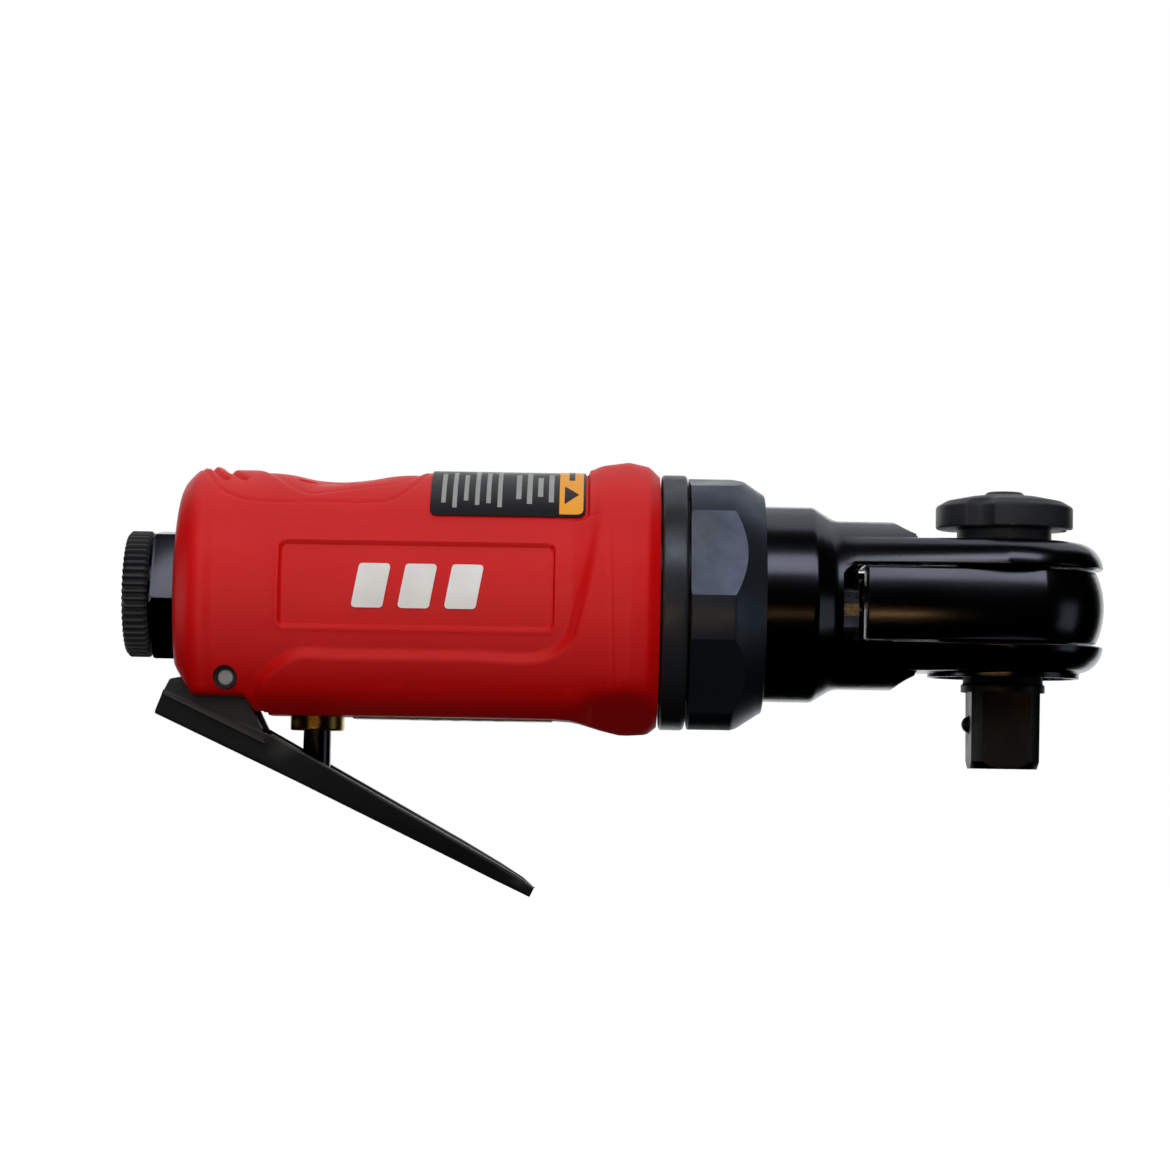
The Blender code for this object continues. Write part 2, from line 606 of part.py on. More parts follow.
def make_head():
    outline = [(-20.4, 0), (-20.4, 7.8), (-38.0, 7.8), (-38.0, 10.0), (-40.6, 10.0)]
    outline += [(-40.6, 14.5), (-38.2, 14.5), (-38.2, NECK_RADIUS), (-26.9, NECK_RADIUS)]
    outline += [(-24.4, TANG_RADIUS), (-19.0, TANG_RADIUS), (-3.0, HEAD_RADIUS - 0.05), (-3.0, 0)]
    neck = turned("ratchet_head", outline, 36, closed=False)
    head = add_part("ratchet_head", neck, "black_steel", turn=ALONG_X)
    disc = rod("head_disc", -12.5, 12.5, HEAD_RADIUS, 36)
    combine(head, add_cutter("head_disc", disc), "UNION")

    side = [(-42, -20), (-27, -20), (-27, -TANG_RADIUS - 1.9)]
    side += [(-24.4, -TANG_RADIUS - 0.1), (-15.8, -TANG_RADIUS - 0.1)]
    side += arc((-9.6, -EAR_HEIGHT - 8.6), 8.6, 136, 90, 4)
    side += arc((HEAD_RADIUS - 4.0, -EAR_HEIGHT + 4.0), 4.0, -90, 0, 4)
    side += arc((HEAD_RADIUS - 4.0, EAR_HEIGHT - 4.0), 4.0, 0, 90, 4)
    side += arc((-9.6, EAR_HEIGHT + 8.6), 8.6, -90, -136, 4)
    side += [(-15.8, TANG_RADIUS + 0.1), (-24.4, TANG_RADIUS + 0.1)]
    side += [(-27, TANG_RADIUS + 1.9), (-27, 20), (-42, 20)]
    combine(head, add_cutter("head_side", extruded("head_side", [side], 50), turn=ALONG_Y), "INTERSECT")

    boss = rod("head_boss", -BOSS_HEIGHT, -SLOT_HALF, BOSS_RADIUS, 36)
    combine(head, add_cutter("head_boss", boss), "UNION")

    slot = [(-23.4, -SLOT_HALF), (20, -SLOT_HALF), (20, SLOT_HALF), (-21.9, SLOT_HALF)]
    slot.append((-23.4, SLOT_HALF - 1.5))
    combine(head, add_cutter("cut_yoke_slot", extruded("cut_yoke_slot", [slot], 50), turn=ALONG_Y))
    combine(head, add_cutter("cut_upper_ear", rod("cut_upper_ear", 0.0, 12.0, 6.9, 32)))
    lower = [(-12.0, 0), (-12.0, 9.9), (-9.5, 9.9), (-9.5, 10.3), (-8.0, 10.3)]
    lower += [(-8.0, 10.5), (0, 10.5), (0, 0)]
    lower = turned("cut_lower_ear", lower, 36, closed=False)
    combine(head, add_cutter("cut_lower_ear", lower))

    add_part("thrust_washer", tube("thrust_washer", -7.9, -7.1, 10.2, 6.0), "bronze")
    gap_half = 18
    loop = arc((0, 0), 9.9, gap_half - 90, 270 - gap_half, 28)
    loop += arc((0, 0), 8.2, 270 - gap_half, gap_half - 90, 28)
    add_part("retaining_ring", extruded("retaining_ring", [loop], 0.9), "spring_steel", (0, 0, -8.75))


def make_yoke():
    half_width = YOKE_HALF_WIDTH
    corner = math.degrees(math.asin(half_width / YOKE_RADIUS))
    fork_half = CRANK_THROW * 2 + 2.3 + 0.3
    outline = [(-20.2, -half_width)] + arc((0, 0), YOKE_RADIUS, -corner, corner, 24)
    outline += [(-20.2, half_width), (-20.2, fork_half), (-15.3, fork_half), (-15.3, -fork_half)]
    outline += [(-20.2, -fork_half)]
    teeth = zigzag_circle(YOKE_TEETH, 9.5, 10.5)
    yoke = extruded("ratchet_yoke", [outline, teeth], 2 * (SLOT_HALF - GAP))
    add_part("ratchet_yoke", yoke, "black_steel")


def make_anvil():
    outline = [(-22.7, 0), (-22.7, 4.9), (-21.7, 5.9), (-11.4, 5.9), (-11.1, 5.6), (-6.8, 5.6)]
    outline += [(-6.8, 9.8), (-5.3, 9.8), (-5.3, 9.1), (5.0, 9.1), (5.0, 6.6), (EAR_HEIGHT, 6.6)]
    outline += [(EAR_HEIGHT, 3.2), (-4.6, 3.2), (-4.6, 0)]
    anvil = add_part("anvil", turned("anvil", outline, 24, closed=False), "black_steel")
    half = SQUARE_DRIVE / 2
    square = [(-half, -half), (half, -half), (half, half), (-half, half)]
    sleeve = extruded("cut_square", [circle(9, 16), square], 13.0)
    combine(anvil, add_cutter("cut_square", sleeve, (0, 0, -17.8)))
    pocket = block("cut_pawl_pocket", (1.0, -12.0, -3.5), (12.0, 12.0, 3.5))
    combine(anvil, add_cutter("cut_pawl_pocket", pocket))
    pin_hole = rod("cut_pawl_pin", -4.5, 4.5, 1.2, 12)
    combine(anvil, add_cutter("cut_pawl_pin", pin_hole, (PAWL_PIVOT_X, 0, 0)))
    ball_hole = rod("cut_ball_hole", -6.0, 1.5, 1.5, 12)
    combine(anvil, add_cutter("cut_ball_hole", ball_hole, (0, 0, BALL_HEIGHT), ALONG_X))
    add_part("socket_ball", ball("socket_ball", 1.2), "black_steel", (-4.6, 0, BALL_HEIGHT))
    ball_spring = coil("socket_ball_spring", 0.85, 0.35, -2.2, 1.2, 3, 7)
    add_part("socket_ball_spring", ball_spring, "spring_steel", (0, 0, BALL_HEIGHT), ALONG_X)
    add_part("pawl_pin", rod("pawl_pin", -4.3, 4.3, 0.9, 12), "bright_steel", (PAWL_PIVOT_X, 0, 0))


def make_pawl():
    """The rocking pawl, drawn about its pivot and leaning one way at rest."""
    reach = 8.85
    notch = 8.1
    half = [(0, notch), (20, notch), (28, reach), (32, notch), (37, reach), (41, notch), (46, reach)]
    outline = []
    for angle, radius in [(-angle, radius) for angle, radius in reversed(half[1:])] + half:
        turn = math.radians(angle)
        outline.append((radius * math.cos(turn) - PAWL_PIVOT_X, radius * math.sin(turn)))
    back = 4.3 - PAWL_PIVOT_X
    outline += [(back, 6.0), (back, -6.0)]
    mesh = extruded("drive_pawl", [outline, circle(1.2, 12)], 6.4)
    add_part("drive_pawl", mesh, "bright_steel", (PAWL_PIVOT_X, 0, 0), (0, 0, -math.radians(PAWL_TILT)))


def make_knob():
    notch_half = 13
    share = 360 / KNOB_NOTCHES
    lobes = []
    for index in range(KNOB_NOTCHES):
        notch = -117.5 - KNOB_LEAN + index * share
        lobes += arc((0, 0), KNOB_RADIUS - 1.3, notch - notch_half / 2, notch + notch_half / 2, 2)
        lobes += arc((0, 0), KNOB_RADIUS, notch + notch_half, notch + share - notch_half, 9)
    body = [(-4.0, 0), (-4.0, 2.9), (9.5, 2.9), (9.5, 6.65), (11.5, 6.65), (11.5, 8.0)]
    body += [(14.9, 8.0), (15.7, 5.0), (15.9, 2.4), (16.4, 2.4), (16.4, 0)]
    frame = new_empty("knob_frame", (0, 0, 0), TOOL_AXIS, (0, 0, math.radians(KNOB_LEAN)))
    knob = turned("reverse_knob", body, 20, closed=False)
    knob = add_part("reverse_knob", knob, "black_steel", parent=frame)
    wheel = extruded("knob_wheel", [lobes], 3.3, bevel=0.4)
    combine(knob, add_cutter("knob_wheel", wheel, (0, 0, 12.75), parent=frame), "UNION")
    hole = rod("cut_detent_hole", -1.6, 5.0, 1.2, 12)
    combine(knob, add_cutter("cut_detent_hole", hole, turn=ALONG_X, parent=frame))
    add_part("knob_detent_ball", ball("knob_detent_ball", 0.9), "bright_steel", (2.95, 0, 0), parent=frame)
    spring = coil("knob_detent_spring", 0.6, 0.3, -1.3, 1.8, 3, 7)
    add_part("knob_detent_spring", spring, "spring_steel", turn=ALONG_X, parent=frame)


make_grip_housing()
make_grip_trim()
make_inlet()
make_valve()
make_lever()
make_motor()
make_crankshaft(make_gears())
make_coupling()
make_head()
make_yoke()
make_anvil()
make_pawl()
make_knob()
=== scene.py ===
"""Looks of a palm-size air ratchet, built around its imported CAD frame.

Shapes are drawn in millimetres from the point where the tool's long axis crosses the anvil's
axis: X runs towards the head, Z up to the reverse knob, and the near side of the tool is -Y.
"""
import json
import math

import bmesh
import bpy
import numpy as np
from mathutils import Matrix, Vector


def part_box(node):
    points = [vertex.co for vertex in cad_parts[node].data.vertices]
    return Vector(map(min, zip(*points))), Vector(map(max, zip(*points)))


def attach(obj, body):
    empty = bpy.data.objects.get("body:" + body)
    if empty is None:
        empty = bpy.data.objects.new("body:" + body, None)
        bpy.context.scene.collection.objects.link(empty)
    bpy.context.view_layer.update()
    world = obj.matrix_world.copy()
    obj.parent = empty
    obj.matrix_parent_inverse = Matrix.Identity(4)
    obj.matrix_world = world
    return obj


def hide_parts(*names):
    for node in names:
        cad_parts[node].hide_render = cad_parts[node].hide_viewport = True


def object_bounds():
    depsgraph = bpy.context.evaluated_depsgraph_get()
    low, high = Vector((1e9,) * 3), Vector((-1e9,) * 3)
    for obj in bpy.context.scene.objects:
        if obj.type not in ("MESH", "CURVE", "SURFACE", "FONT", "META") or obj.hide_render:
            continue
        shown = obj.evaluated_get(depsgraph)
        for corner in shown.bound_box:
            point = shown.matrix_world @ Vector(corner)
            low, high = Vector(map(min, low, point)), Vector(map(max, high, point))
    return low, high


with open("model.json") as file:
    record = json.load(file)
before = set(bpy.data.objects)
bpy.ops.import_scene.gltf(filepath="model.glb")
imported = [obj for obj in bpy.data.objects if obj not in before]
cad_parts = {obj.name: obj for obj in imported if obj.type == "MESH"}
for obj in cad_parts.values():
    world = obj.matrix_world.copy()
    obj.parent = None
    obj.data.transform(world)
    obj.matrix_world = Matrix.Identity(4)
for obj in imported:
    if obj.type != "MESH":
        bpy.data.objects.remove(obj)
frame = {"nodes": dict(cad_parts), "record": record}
CAD_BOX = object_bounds()
NODES = frame["nodes"]

MM = 0.001
ROTOR_LOW, ROTOR_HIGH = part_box("rotor")
AXIS_HEIGHT = (ROTOR_LOW.z + ROTOR_HIGH.z) / 2
ORIGIN = Vector((0, 0, AXIS_HEIGHT))

GRIP_RADIUS = 18.3
GRIP_REAR = -115.8
GRIP_FRONT = -48.9
LEVER_PIVOT = (-108.4, -11.9)
LEVER_ANGLE = math.radians(24.9)
VALVE_X = -96.6
EAR = 9.2                        # half the height of the head's ears
EAR_EDGE = 4.0                   # the rounding of their edges
SLOT = 5.4                       # half the height of the slot between them
HEX_FLATS = 17.46
NUT_FLATS = 34.3
DRIVE_SIDE = 9.53
BALL_RADIUS = 1.2
BALL_Z = -16.5
NOTCH = math.radians(-27.5)      # the knob's first scallop, from the near side


# Meshes

def arc(centre, radius, start, end, steps):
    return [(centre[0] + radius * math.cos(math.radians(start + (end - start) * step / steps)),
             centre[1] + radius * math.sin(math.radians(start + (end - start) * step / steps)))
            for step in range(steps + 1)]


def circle(radius, steps, centre=(0, 0)):
    return arc(centre, radius, 0, 360, steps)[:-1]


def rounded(points, closed=False, segments=5):
    """An outline with its corners rounded: a third number in a point is that corner's radius."""
    count = len(points)
    out = []
    for index, point in enumerate(points):
        here = Vector(point[:2])
        radius = point[2] if len(point) > 2 else 0
        if not radius or (not closed and index in (0, count - 1)):
            out.append(tuple(here))
            continue
        before = Vector(points[index - 1][:2]) - here
        after = Vector(points[(index + 1) % count][:2]) - here
        reach_before, reach_after = before.length, after.length
        before.normalize()
        after.normalize()
        half = before.angle(after) / 2
        reach = min(radius / max(math.tan(half), 0.05), reach_before * 0.48, reach_after * 0.48)
        start, end = here + before * reach, here + after * reach
        for step in range(segments + 1):
            t = step / segments
            out.append(tuple(start * (1 - t) ** 2 + here * 2 * t * (1 - t) + end * t * t))
    return out


def made(name, verts, faces, sharp=30, weld=0.0005):
    """A mesh object from points in millimetres, welded, with normals out."""
    mesh = bpy.data.meshes.new(name)
    mesh.from_pydata([Vector(v) for v in verts], [], faces)
    shape = bmesh.new()
    shape.from_mesh(mesh)
    bmesh.ops.remove_doubles(shape, verts=shape.verts, dist=weld)
    bmesh.ops.dissolve_degenerate(shape, dist=weld / 2, edges=shape.edges)
    bmesh.ops.recalc_face_normals(shape, faces=shape.faces)
    shape.to_mesh(mesh)
    shape.free()
    piece = bpy.data.objects.new(name, mesh)
    bpy.context.scene.collection.objects.link(piece)
    smooth(piece, sharp)
    return piece


def smooth(piece, sharp):
    piece.data.shade_smooth()
    piece.data.set_sharp_from_angle(angle=math.radians(sharp))


def lathe(name, outline, steps=96, along="X", closed=False, sharp=30, radius_at=None):
    """A turned piece. The outline is (place along the axis, radius), run so that it closes on the
    axis or on itself. radius_at may change a radius by its angle from the near side."""
    verts, faces = [], []
    count = len(outline)
    for step in range(steps):
        angle = math.tau * step / steps
        for index, (place, radius) in enumerate(outline):
            if radius_at:
                radius = radius_at(index, place, radius, angle)
            if along == "X":
                verts.append((place, -radius * math.cos(angle), radius * math.sin(angle)))
            else:
                verts.append((radius * math.sin(angle), -radius * math.cos(angle), place))
    for step in range(steps):
        after = (step + 1) % steps
        for index in range(count if closed else count - 1):
            following = (index + 1) % count
            faces.append((step * count + index, step * count + following,
                          after * count + following, after * count + index))
    return made(name, verts, faces, sharp)


def prism(name, outline, low, high, along="Z", sharp=30):
    """An outline given a depth. Along Z it lies in X and Y; along Y it lies in X and Z."""
    verts, faces = [], []
    count = len(outline)
    for depth in (low, high):
        for a, b in outline:
            verts.append({"Z": (a, b, depth), "Y": (a, depth, b), "X": (depth, a, b)}[along])
    for index in range(count):
        after = (index + 1) % count
        faces.append((index, after, count + after, count + index))
    faces.append(tuple(range(count)))
    faces.append(tuple(range(count, 2 * count)))
    return made(name, verts, faces, sharp)


def stacked(name, rings, sharp=25):
    """A solid through outlines that have the same number of points."""
    count = len(rings[0])
    verts, faces = [], []
    for ring in rings:
        verts += ring
    for level in range(len(rings) - 1):
        here, there = level * count, (level + 1) * count
        for index in range(count):
            after = (index + 1) % count
            faces.append((here + index, here + after, there + after, there + index))
    faces.append(tuple(range(count)))
    faces.append(tuple(range((len(rings) - 1) * count, len(rings) * count)))
    return made(name, verts, faces, sharp)


def box(name, low, high):
    outline = [(low[0], low[1]), (high[0], low[1]), (high[0], high[1]), (low[0], high[1])]
    return prism(name, outline, low[2], high[2])


def applied(piece, sharp=30):
    """Applies the piece's modifiers to its mesh."""
    graph = bpy.context.evaluated_depsgraph_get()
    mesh = bpy.data.meshes.new_from_object(piece.evaluated_get(graph))
    piece.modifiers.clear()
    piece.data = mesh
    mesh.name = piece.name
    smooth(piece, sharp)
    return piece


def combined(piece, other, operation="DIFFERENCE", sharp=30):
    """Cuts another piece from this one, or joins or intersects them, and uses the other up."""
    step = piece.modifiers.new(other.name, "BOOLEAN")
    step.operation = operation
    step.solver = "MANIFOLD"
    step.object = other
    applied(piece, sharp)
    bpy.data.objects.remove(other, do_unlink=True)
    return piece


def softened(piece, width, angle=35, segments=3, sharp=30):
    """Rounds the edges that turn by more than an angle."""
    step = piece.modifiers.new("soften", "BEVEL")
    step.width = width
    step.segments = segments
    step.limit_method = "ANGLE"
    step.angle_limit = math.radians(angle)
    step.use_clamp_overlap = False
    step.miter_outer = "MITER_ARC"
    applied(piece, sharp)
    return piece


def placed(piece, body, slot, material, *replaces):
    """Moves a finished piece into the CAD's frame, in metres, and ties it to its body."""
    for vertex in piece.data.vertices:
        vertex.co = vertex.co * MM + ORIGIN
    piece.data.materials.clear()
    piece.data.materials.append(material)
    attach(piece, body)
    if replaces:
        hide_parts(*replaces)
    return piece


# Materials

def noise(nodes, links, source, scale, detail=4.0, rough=0.55):
    node = nodes.new("ShaderNodeTexNoise")
    node.inputs["Scale"].default_value = scale
    node.inputs["Detail"].default_value = detail
    node.inputs["Roughness"].default_value = rough
    links.new(source, node.inputs["Vector"])
    return node.outputs["Fac"]


def ramp(nodes, links, source, low, high, start=0.3, end=0.7):
    node = nodes.new("ShaderNodeMapRange")
    node.inputs["From Min"].default_value = start
    node.inputs["From Max"].default_value = end
    node.inputs["To Min"].default_value = low
    node.inputs["To Max"].default_value = high
    links.new(source, node.inputs["Value"])
    return node.outputs["Result"]


def blend(nodes, links, factor, first, second):
    node = nodes.new("ShaderNodeMix")
    node.data_type = "RGBA"
    for socket, value in (("A", first), ("B", second)):
        target = [s for s in node.inputs if s.name == socket and s.type == "RGBA"][0]
        if isinstance(value, tuple):
            target.default_value = (*value, 1)
        else:
            links.new(value, target)
    links.new(factor, node.inputs[0])
    return [s for s in node.outputs if s.type == "RGBA"][0]


def finish(name, colour, second, roughness, metallic=0.0, grain=9000.0, bump=0.1, patches=140.0,
           spread=0.08, stretch=(1, 1, 1), worn=None, wear=0.0, specular=0.5, depth=0.00003):
    """A surface with patchy colour, patchy roughness, a fine grain, and paler worn edges."""
    material = bpy.data.materials.new(name)
    material.use_nodes = True
    nodes, links = material.node_tree.nodes, material.node_tree.links
    shader = nodes["Principled BSDF"]
    shader.inputs["Metallic"].default_value = metallic
    shader.inputs["Specular IOR Level"].default_value = specular
    place = nodes.new("ShaderNodeTexCoord").outputs["Object"]
    scaled = nodes.new("ShaderNodeMapping")
    scaled.inputs["Scale"].default_value = stretch
    links.new(place, scaled.inputs["Vector"])
    scaled = scaled.outputs["Vector"]
    patch = noise(nodes, links, place, patches, 5.0)
    fine = noise(nodes, links, scaled, grain, 3.0, 0.6)
    base = blend(nodes, links, ramp(nodes, links, patch, 0, 1), colour, second)
    if worn:
        geometry = nodes.new("ShaderNodeNewGeometry").outputs["Pointiness"]
        edge = ramp(nodes, links, geometry, 0, wear, 0.52, 0.62)
        base = blend(nodes, links, edge, base, worn)
    links.new(base, shader.inputs["Base Color"])
    mixed = nodes.new("ShaderNodeMath")
    mixed.operation = "ADD"
    links.new(ramp(nodes, links, patch, roughness - spread, roughness + spread), mixed.inputs[0])
    links.new(ramp(nodes, links, fine, -spread / 2, spread / 2), mixed.inputs[1])
    links.new(mixed.outputs["Value"], shader.inputs["Roughness"])
    relief = nodes.new("ShaderNodeBump")
    relief.inputs["Strength"].default_value = bump
    relief.inputs["Distance"].default_value = depth
    links.new(fine, relief.inputs["Height"])
    links.new(relief.outputs["Normal"], shader.inputs["Normal"])
    return material


RED = finish("moulded_red", (0.60, 0.0012, 0.0015), (0.54, 0.001, 0.0012), 0.44, grain=3200.0, bump=0.35,
             patches=60.0, spread=0.05, worn=(0.66, 0.006, 0.006), wear=0.5, specular=0.36)
OXIDE = finish("black_oxide", (0.145, 0.148, 0.175), (0.122, 0.126, 0.15), 0.22, 1.0, grain=2600.0,
               bump=0.16, patches=90.0, spread=0.03, worn=(0.2, 0.2, 0.21), wear=0.5)
OXIDE_NUT = finish("black_oxide_nut", (0.14, 0.158, 0.215), (0.115, 0.135, 0.18), 0.38, 0.93, grain=1500.0,
                   bump=0.3, patches=240.0, spread=0.05, worn=(0.12, 0.12, 0.12), wear=0.5)
OXIDE_TURNED = finish("black_oxide_turned", (0.125, 0.135, 0.15), (0.10, 0.108, 0.12), 0.38, 0.88,
                      grain=700.0, bump=0.18, patches=260.0, spread=0.08, stretch=(9, 1, 1),
                      worn=(0.22, 0.22, 0.22), wear=0.6)
OXIDE_MATTE = finish("black_oxide_matte", (0.12, 0.122, 0.13), (0.095, 0.097, 0.104), 0.5, 1.0,
                     grain=3000.0, bump=0.2, patches=120.0, spread=0.04, worn=(0.16, 0.16, 0.16), wear=0.5)
OXIDE_RING = finish("black_oxide_ring", (0.022, 0.023, 0.026), (0.017, 0.018, 0.021), 0.45, 0.0, grain=3000.0,
                    bump=0.25, patches=200.0, spread=0.05, worn=(0.09, 0.09, 0.09), wear=0.5)
LEVER_BLACK = finish("painted_black", (0.024, 0.024, 0.024), (0.018, 0.018, 0.018), 0.38, 0.0, grain=2500.0,
                     bump=0.25, patches=180.0, spread=0.06, worn=(0.09, 0.09, 0.085), wear=0.5)
STEEL = finish("ground_steel", (0.56, 0.56, 0.58), (0.48, 0.48, 0.50), 0.3, 1.0, grain=1800.0,
               bump=0.15, patches=300.0, spread=0.08, stretch=(1, 1, 6))
PIN_STEEL = finish("brushed_pin", (0.30, 0.30, 0.29), (0.24, 0.24, 0.235), 0.5, 0.3, grain=1800.0, bump=0.2)
SPRING = finish("drawn_wire", (0.38, 0.38, 0.40), (0.30, 0.30, 0.32), 0.34, 1.0, grain=2600.0, bump=0.1)
IRON = finish("machined_iron", (0.22, 0.22, 0.225), (0.16, 0.16, 0.165), 0.5, 1.0, grain=1500.0,
              bump=0.4, patches=400.0)
SILVER = finish("satin_aluminium", (0.74, 0.74, 0.74), (0.66, 0.66, 0.66), 0.38, 1.0, grain=1600.0,
                bump=0.15, stretch=(1, 6, 1))
BRASS = finish("machined_brass", (0.72, 0.50, 0.17), (0.60, 0.40, 0.12), 0.3, 1.0, grain=1400.0,
               bump=0.15, patches=300.0)
BRONZE = finish("bronze", (0.5, 0.32, 0.16), (0.42, 0.26, 0.12), 0.42, 1.0, grain=1400.0, bump=0.2)
# Black nitrile for the rubber parts, also used for the painted shade that lines the lever pin's hole
RUBBER_AND_HOLE_SHADE = finish("nitrile_and_hole_shade", (0.018, 0.018, 0.018), (0.012, 0.012, 0.012), 0.75, grain=2500.0, bump=0.3)
FELT = finish("pressed_felt", (0.55, 0.53, 0.47), (0.42, 0.40, 0.35), 0.95, grain=2400.0, bump=0.9,
              depth=0.0002)
RESIN = finish("phenolic", (0.34, 0.20, 0.09), (0.26, 0.15, 0.06), 0.6, grain=900.0, bump=0.3,
               stretch=(6, 1, 1))
FILM = finish("label_film", (0.013, 0.013, 0.015), (0.010, 0.010, 0.012), 0.30, grain=2000.0, bump=0.08,
              patches=90.0, spread=0.05)
AMBER = finish("label_amber", (0.80, 0.33, 0.015), (0.74, 0.29, 0.012), 0.34, grain=2000.0, bump=0.08,
               patches=90.0, spread=0.05)
GREY_INK = finish("label_grey_ink", (0.30, 0.30, 0.30), (0.24, 0.24, 0.24), 0.4, grain=2000.0, bump=0.08)
WHITE_INK = finish("white_ink", (0.78, 0.77, 0.74), (0.70, 0.68, 0.65), 0.42, grain=3000.0, bump=0.2)

NODE_FINISHES = {
    "bright_steel": STEEL, "spring_steel": SPRING, "cast_iron": IRON, "aluminium": SILVER,
    "brass": BRASS, "bronze": BRONZE, "rubber": RUBBER_AND_HOLE_SHADE, "felt": FELT, "resin": RESIN,
    "black_steel": OXIDE, "red_composite": RED, "label": FILM,
}
for part in frame["record"]["subparts"]:
    shown = NODES[part["node"]]
    for cell in shown.material_slots:
        cell.material = NODE_FINISHES[part["material_slot"]]


# The grip: one closed shell, shaped by a map of heights over its unrolled side

def step_up(value, low, high):
    t = np.clip((value - low) / (high - low), 0, 1)
    return t * t * (3 - 2 * t)


def along_line(x, s, line):
    """Distance in millimetres from each point to a line of points, and the side it is on."""
    best = np.full(x.shape, 1e9)
    side = np.zeros(x.shape)
    for (ax, ay), (bx, by) in zip(line, line[1:]):
        dx, dy = bx - ax, by - ay
        t = np.clip(((x - ax) * dx + (s - ay) * dy) / (dx * dx + dy * dy), 0, 1)
        away = np.hypot(x - ax - t * dx, s - ay - t * dy)
        cross = dx * (s - ay) - dy * (x - ax)
        nearer = away < best
        best = np.where(nearer, away, best)
        side = np.where(nearer, np.sign(cross), side)
    return best, side


def curve_through(points, per=8):
    """A smooth line through points."""
    full = [points[0]] + list(points) + [points[-1]]
    out = []
    for a, b, c, d in zip(full, full[1:], full[2:], full[3:]):
        for step in range(per):
            t = step / per
            out.append(tuple(0.5 * (2 * q + (r - p) * t + (2 * p - 5 * q + 4 * r - w) * t * t
                                    + (3 * q - p - 3 * r + w) * t ** 3)
                             for p, q, r, w in zip(a, b, c, d)))
    out.append(tuple(points[-1]))
    return out


def rounded_box(x, s, x_low, x_high, s_low, s_high, corner):
    """Signed distance to a rectangle with round corners, negative inside."""
    u = np.abs(x - (x_low + x_high) / 2) - (x_high - x_low) / 2 + corner
    v = np.abs(s - (s_low + s_high) / 2) - (s_high - s_low) / 2 + corner
    return np.hypot(np.maximum(u, 0), np.maximum(v, 0)) + np.minimum(np.maximum(u, v), 0) - corner


def groove(x, s, line, depth, width):
    """How deep a soft groove along a line is at each point."""
    away = along_line(x, s, line)[0]
    return depth * np.exp(-(away / width) ** 2)


# Places on the unrolled side are (x, arc length up from the near side). Areas are x low, x high,
# arc length low, arc length high.
PANEL = (-100.9, -63.4, -5.1, 7.2)
LABEL_BED = (-81.1, -58.9, 11.3, 60.0)
LABEL_BED_RADIUS = 17.78
WIDEST_RADIUS = 19.67
CREASE_START = -104.6
FAR = 60.0                       # a radius past anything on the grip
MOULD_LINE = [(-111.8, 10.5), (-84.7, 11.05), (-50.8, 11.8)]
FRONT_LINE = [(-56.1, 10.0), (-55.4, -8.0), (-55.2, -18.5)]
RIDGE = curve_through([(-105.5, -23.0), (-104.2, -16.1), (-102.8, -12.5), (-98.6, -9.2), (-92.0, -9.1),
                       (-76.1, -9.0), (-65.7, -9.1), (-61.5, -6.4), (-60.0, -2.1), (-58.7, 2.9), (-57.7, 8.1),
                       (-57.4, 14.0), (-57.3, 30.0)])
DISH = curve_through([(-106.2, 31.0), (-105.1, 28.2), (-101.6, 20.6), (-98.1, 16.7), (-94.5, 17.1),
                      (-90.6, 18.3), (-85.2, 20.2), (-83.2, 23.0), (-82.2, 28.0), (-82.0, 31.0)])
HALO = curve_through([(-113.6, 30.0), (-112.7, 23.6), (-110.4, 17.9), (-107.0, 15.0), (-103.0, 14.4),
                      (-90.0, 14.6), (-86.3, 15.1), (-83.4, 18.6), (-81.3, 25.2), (-81.0, 29.0)])


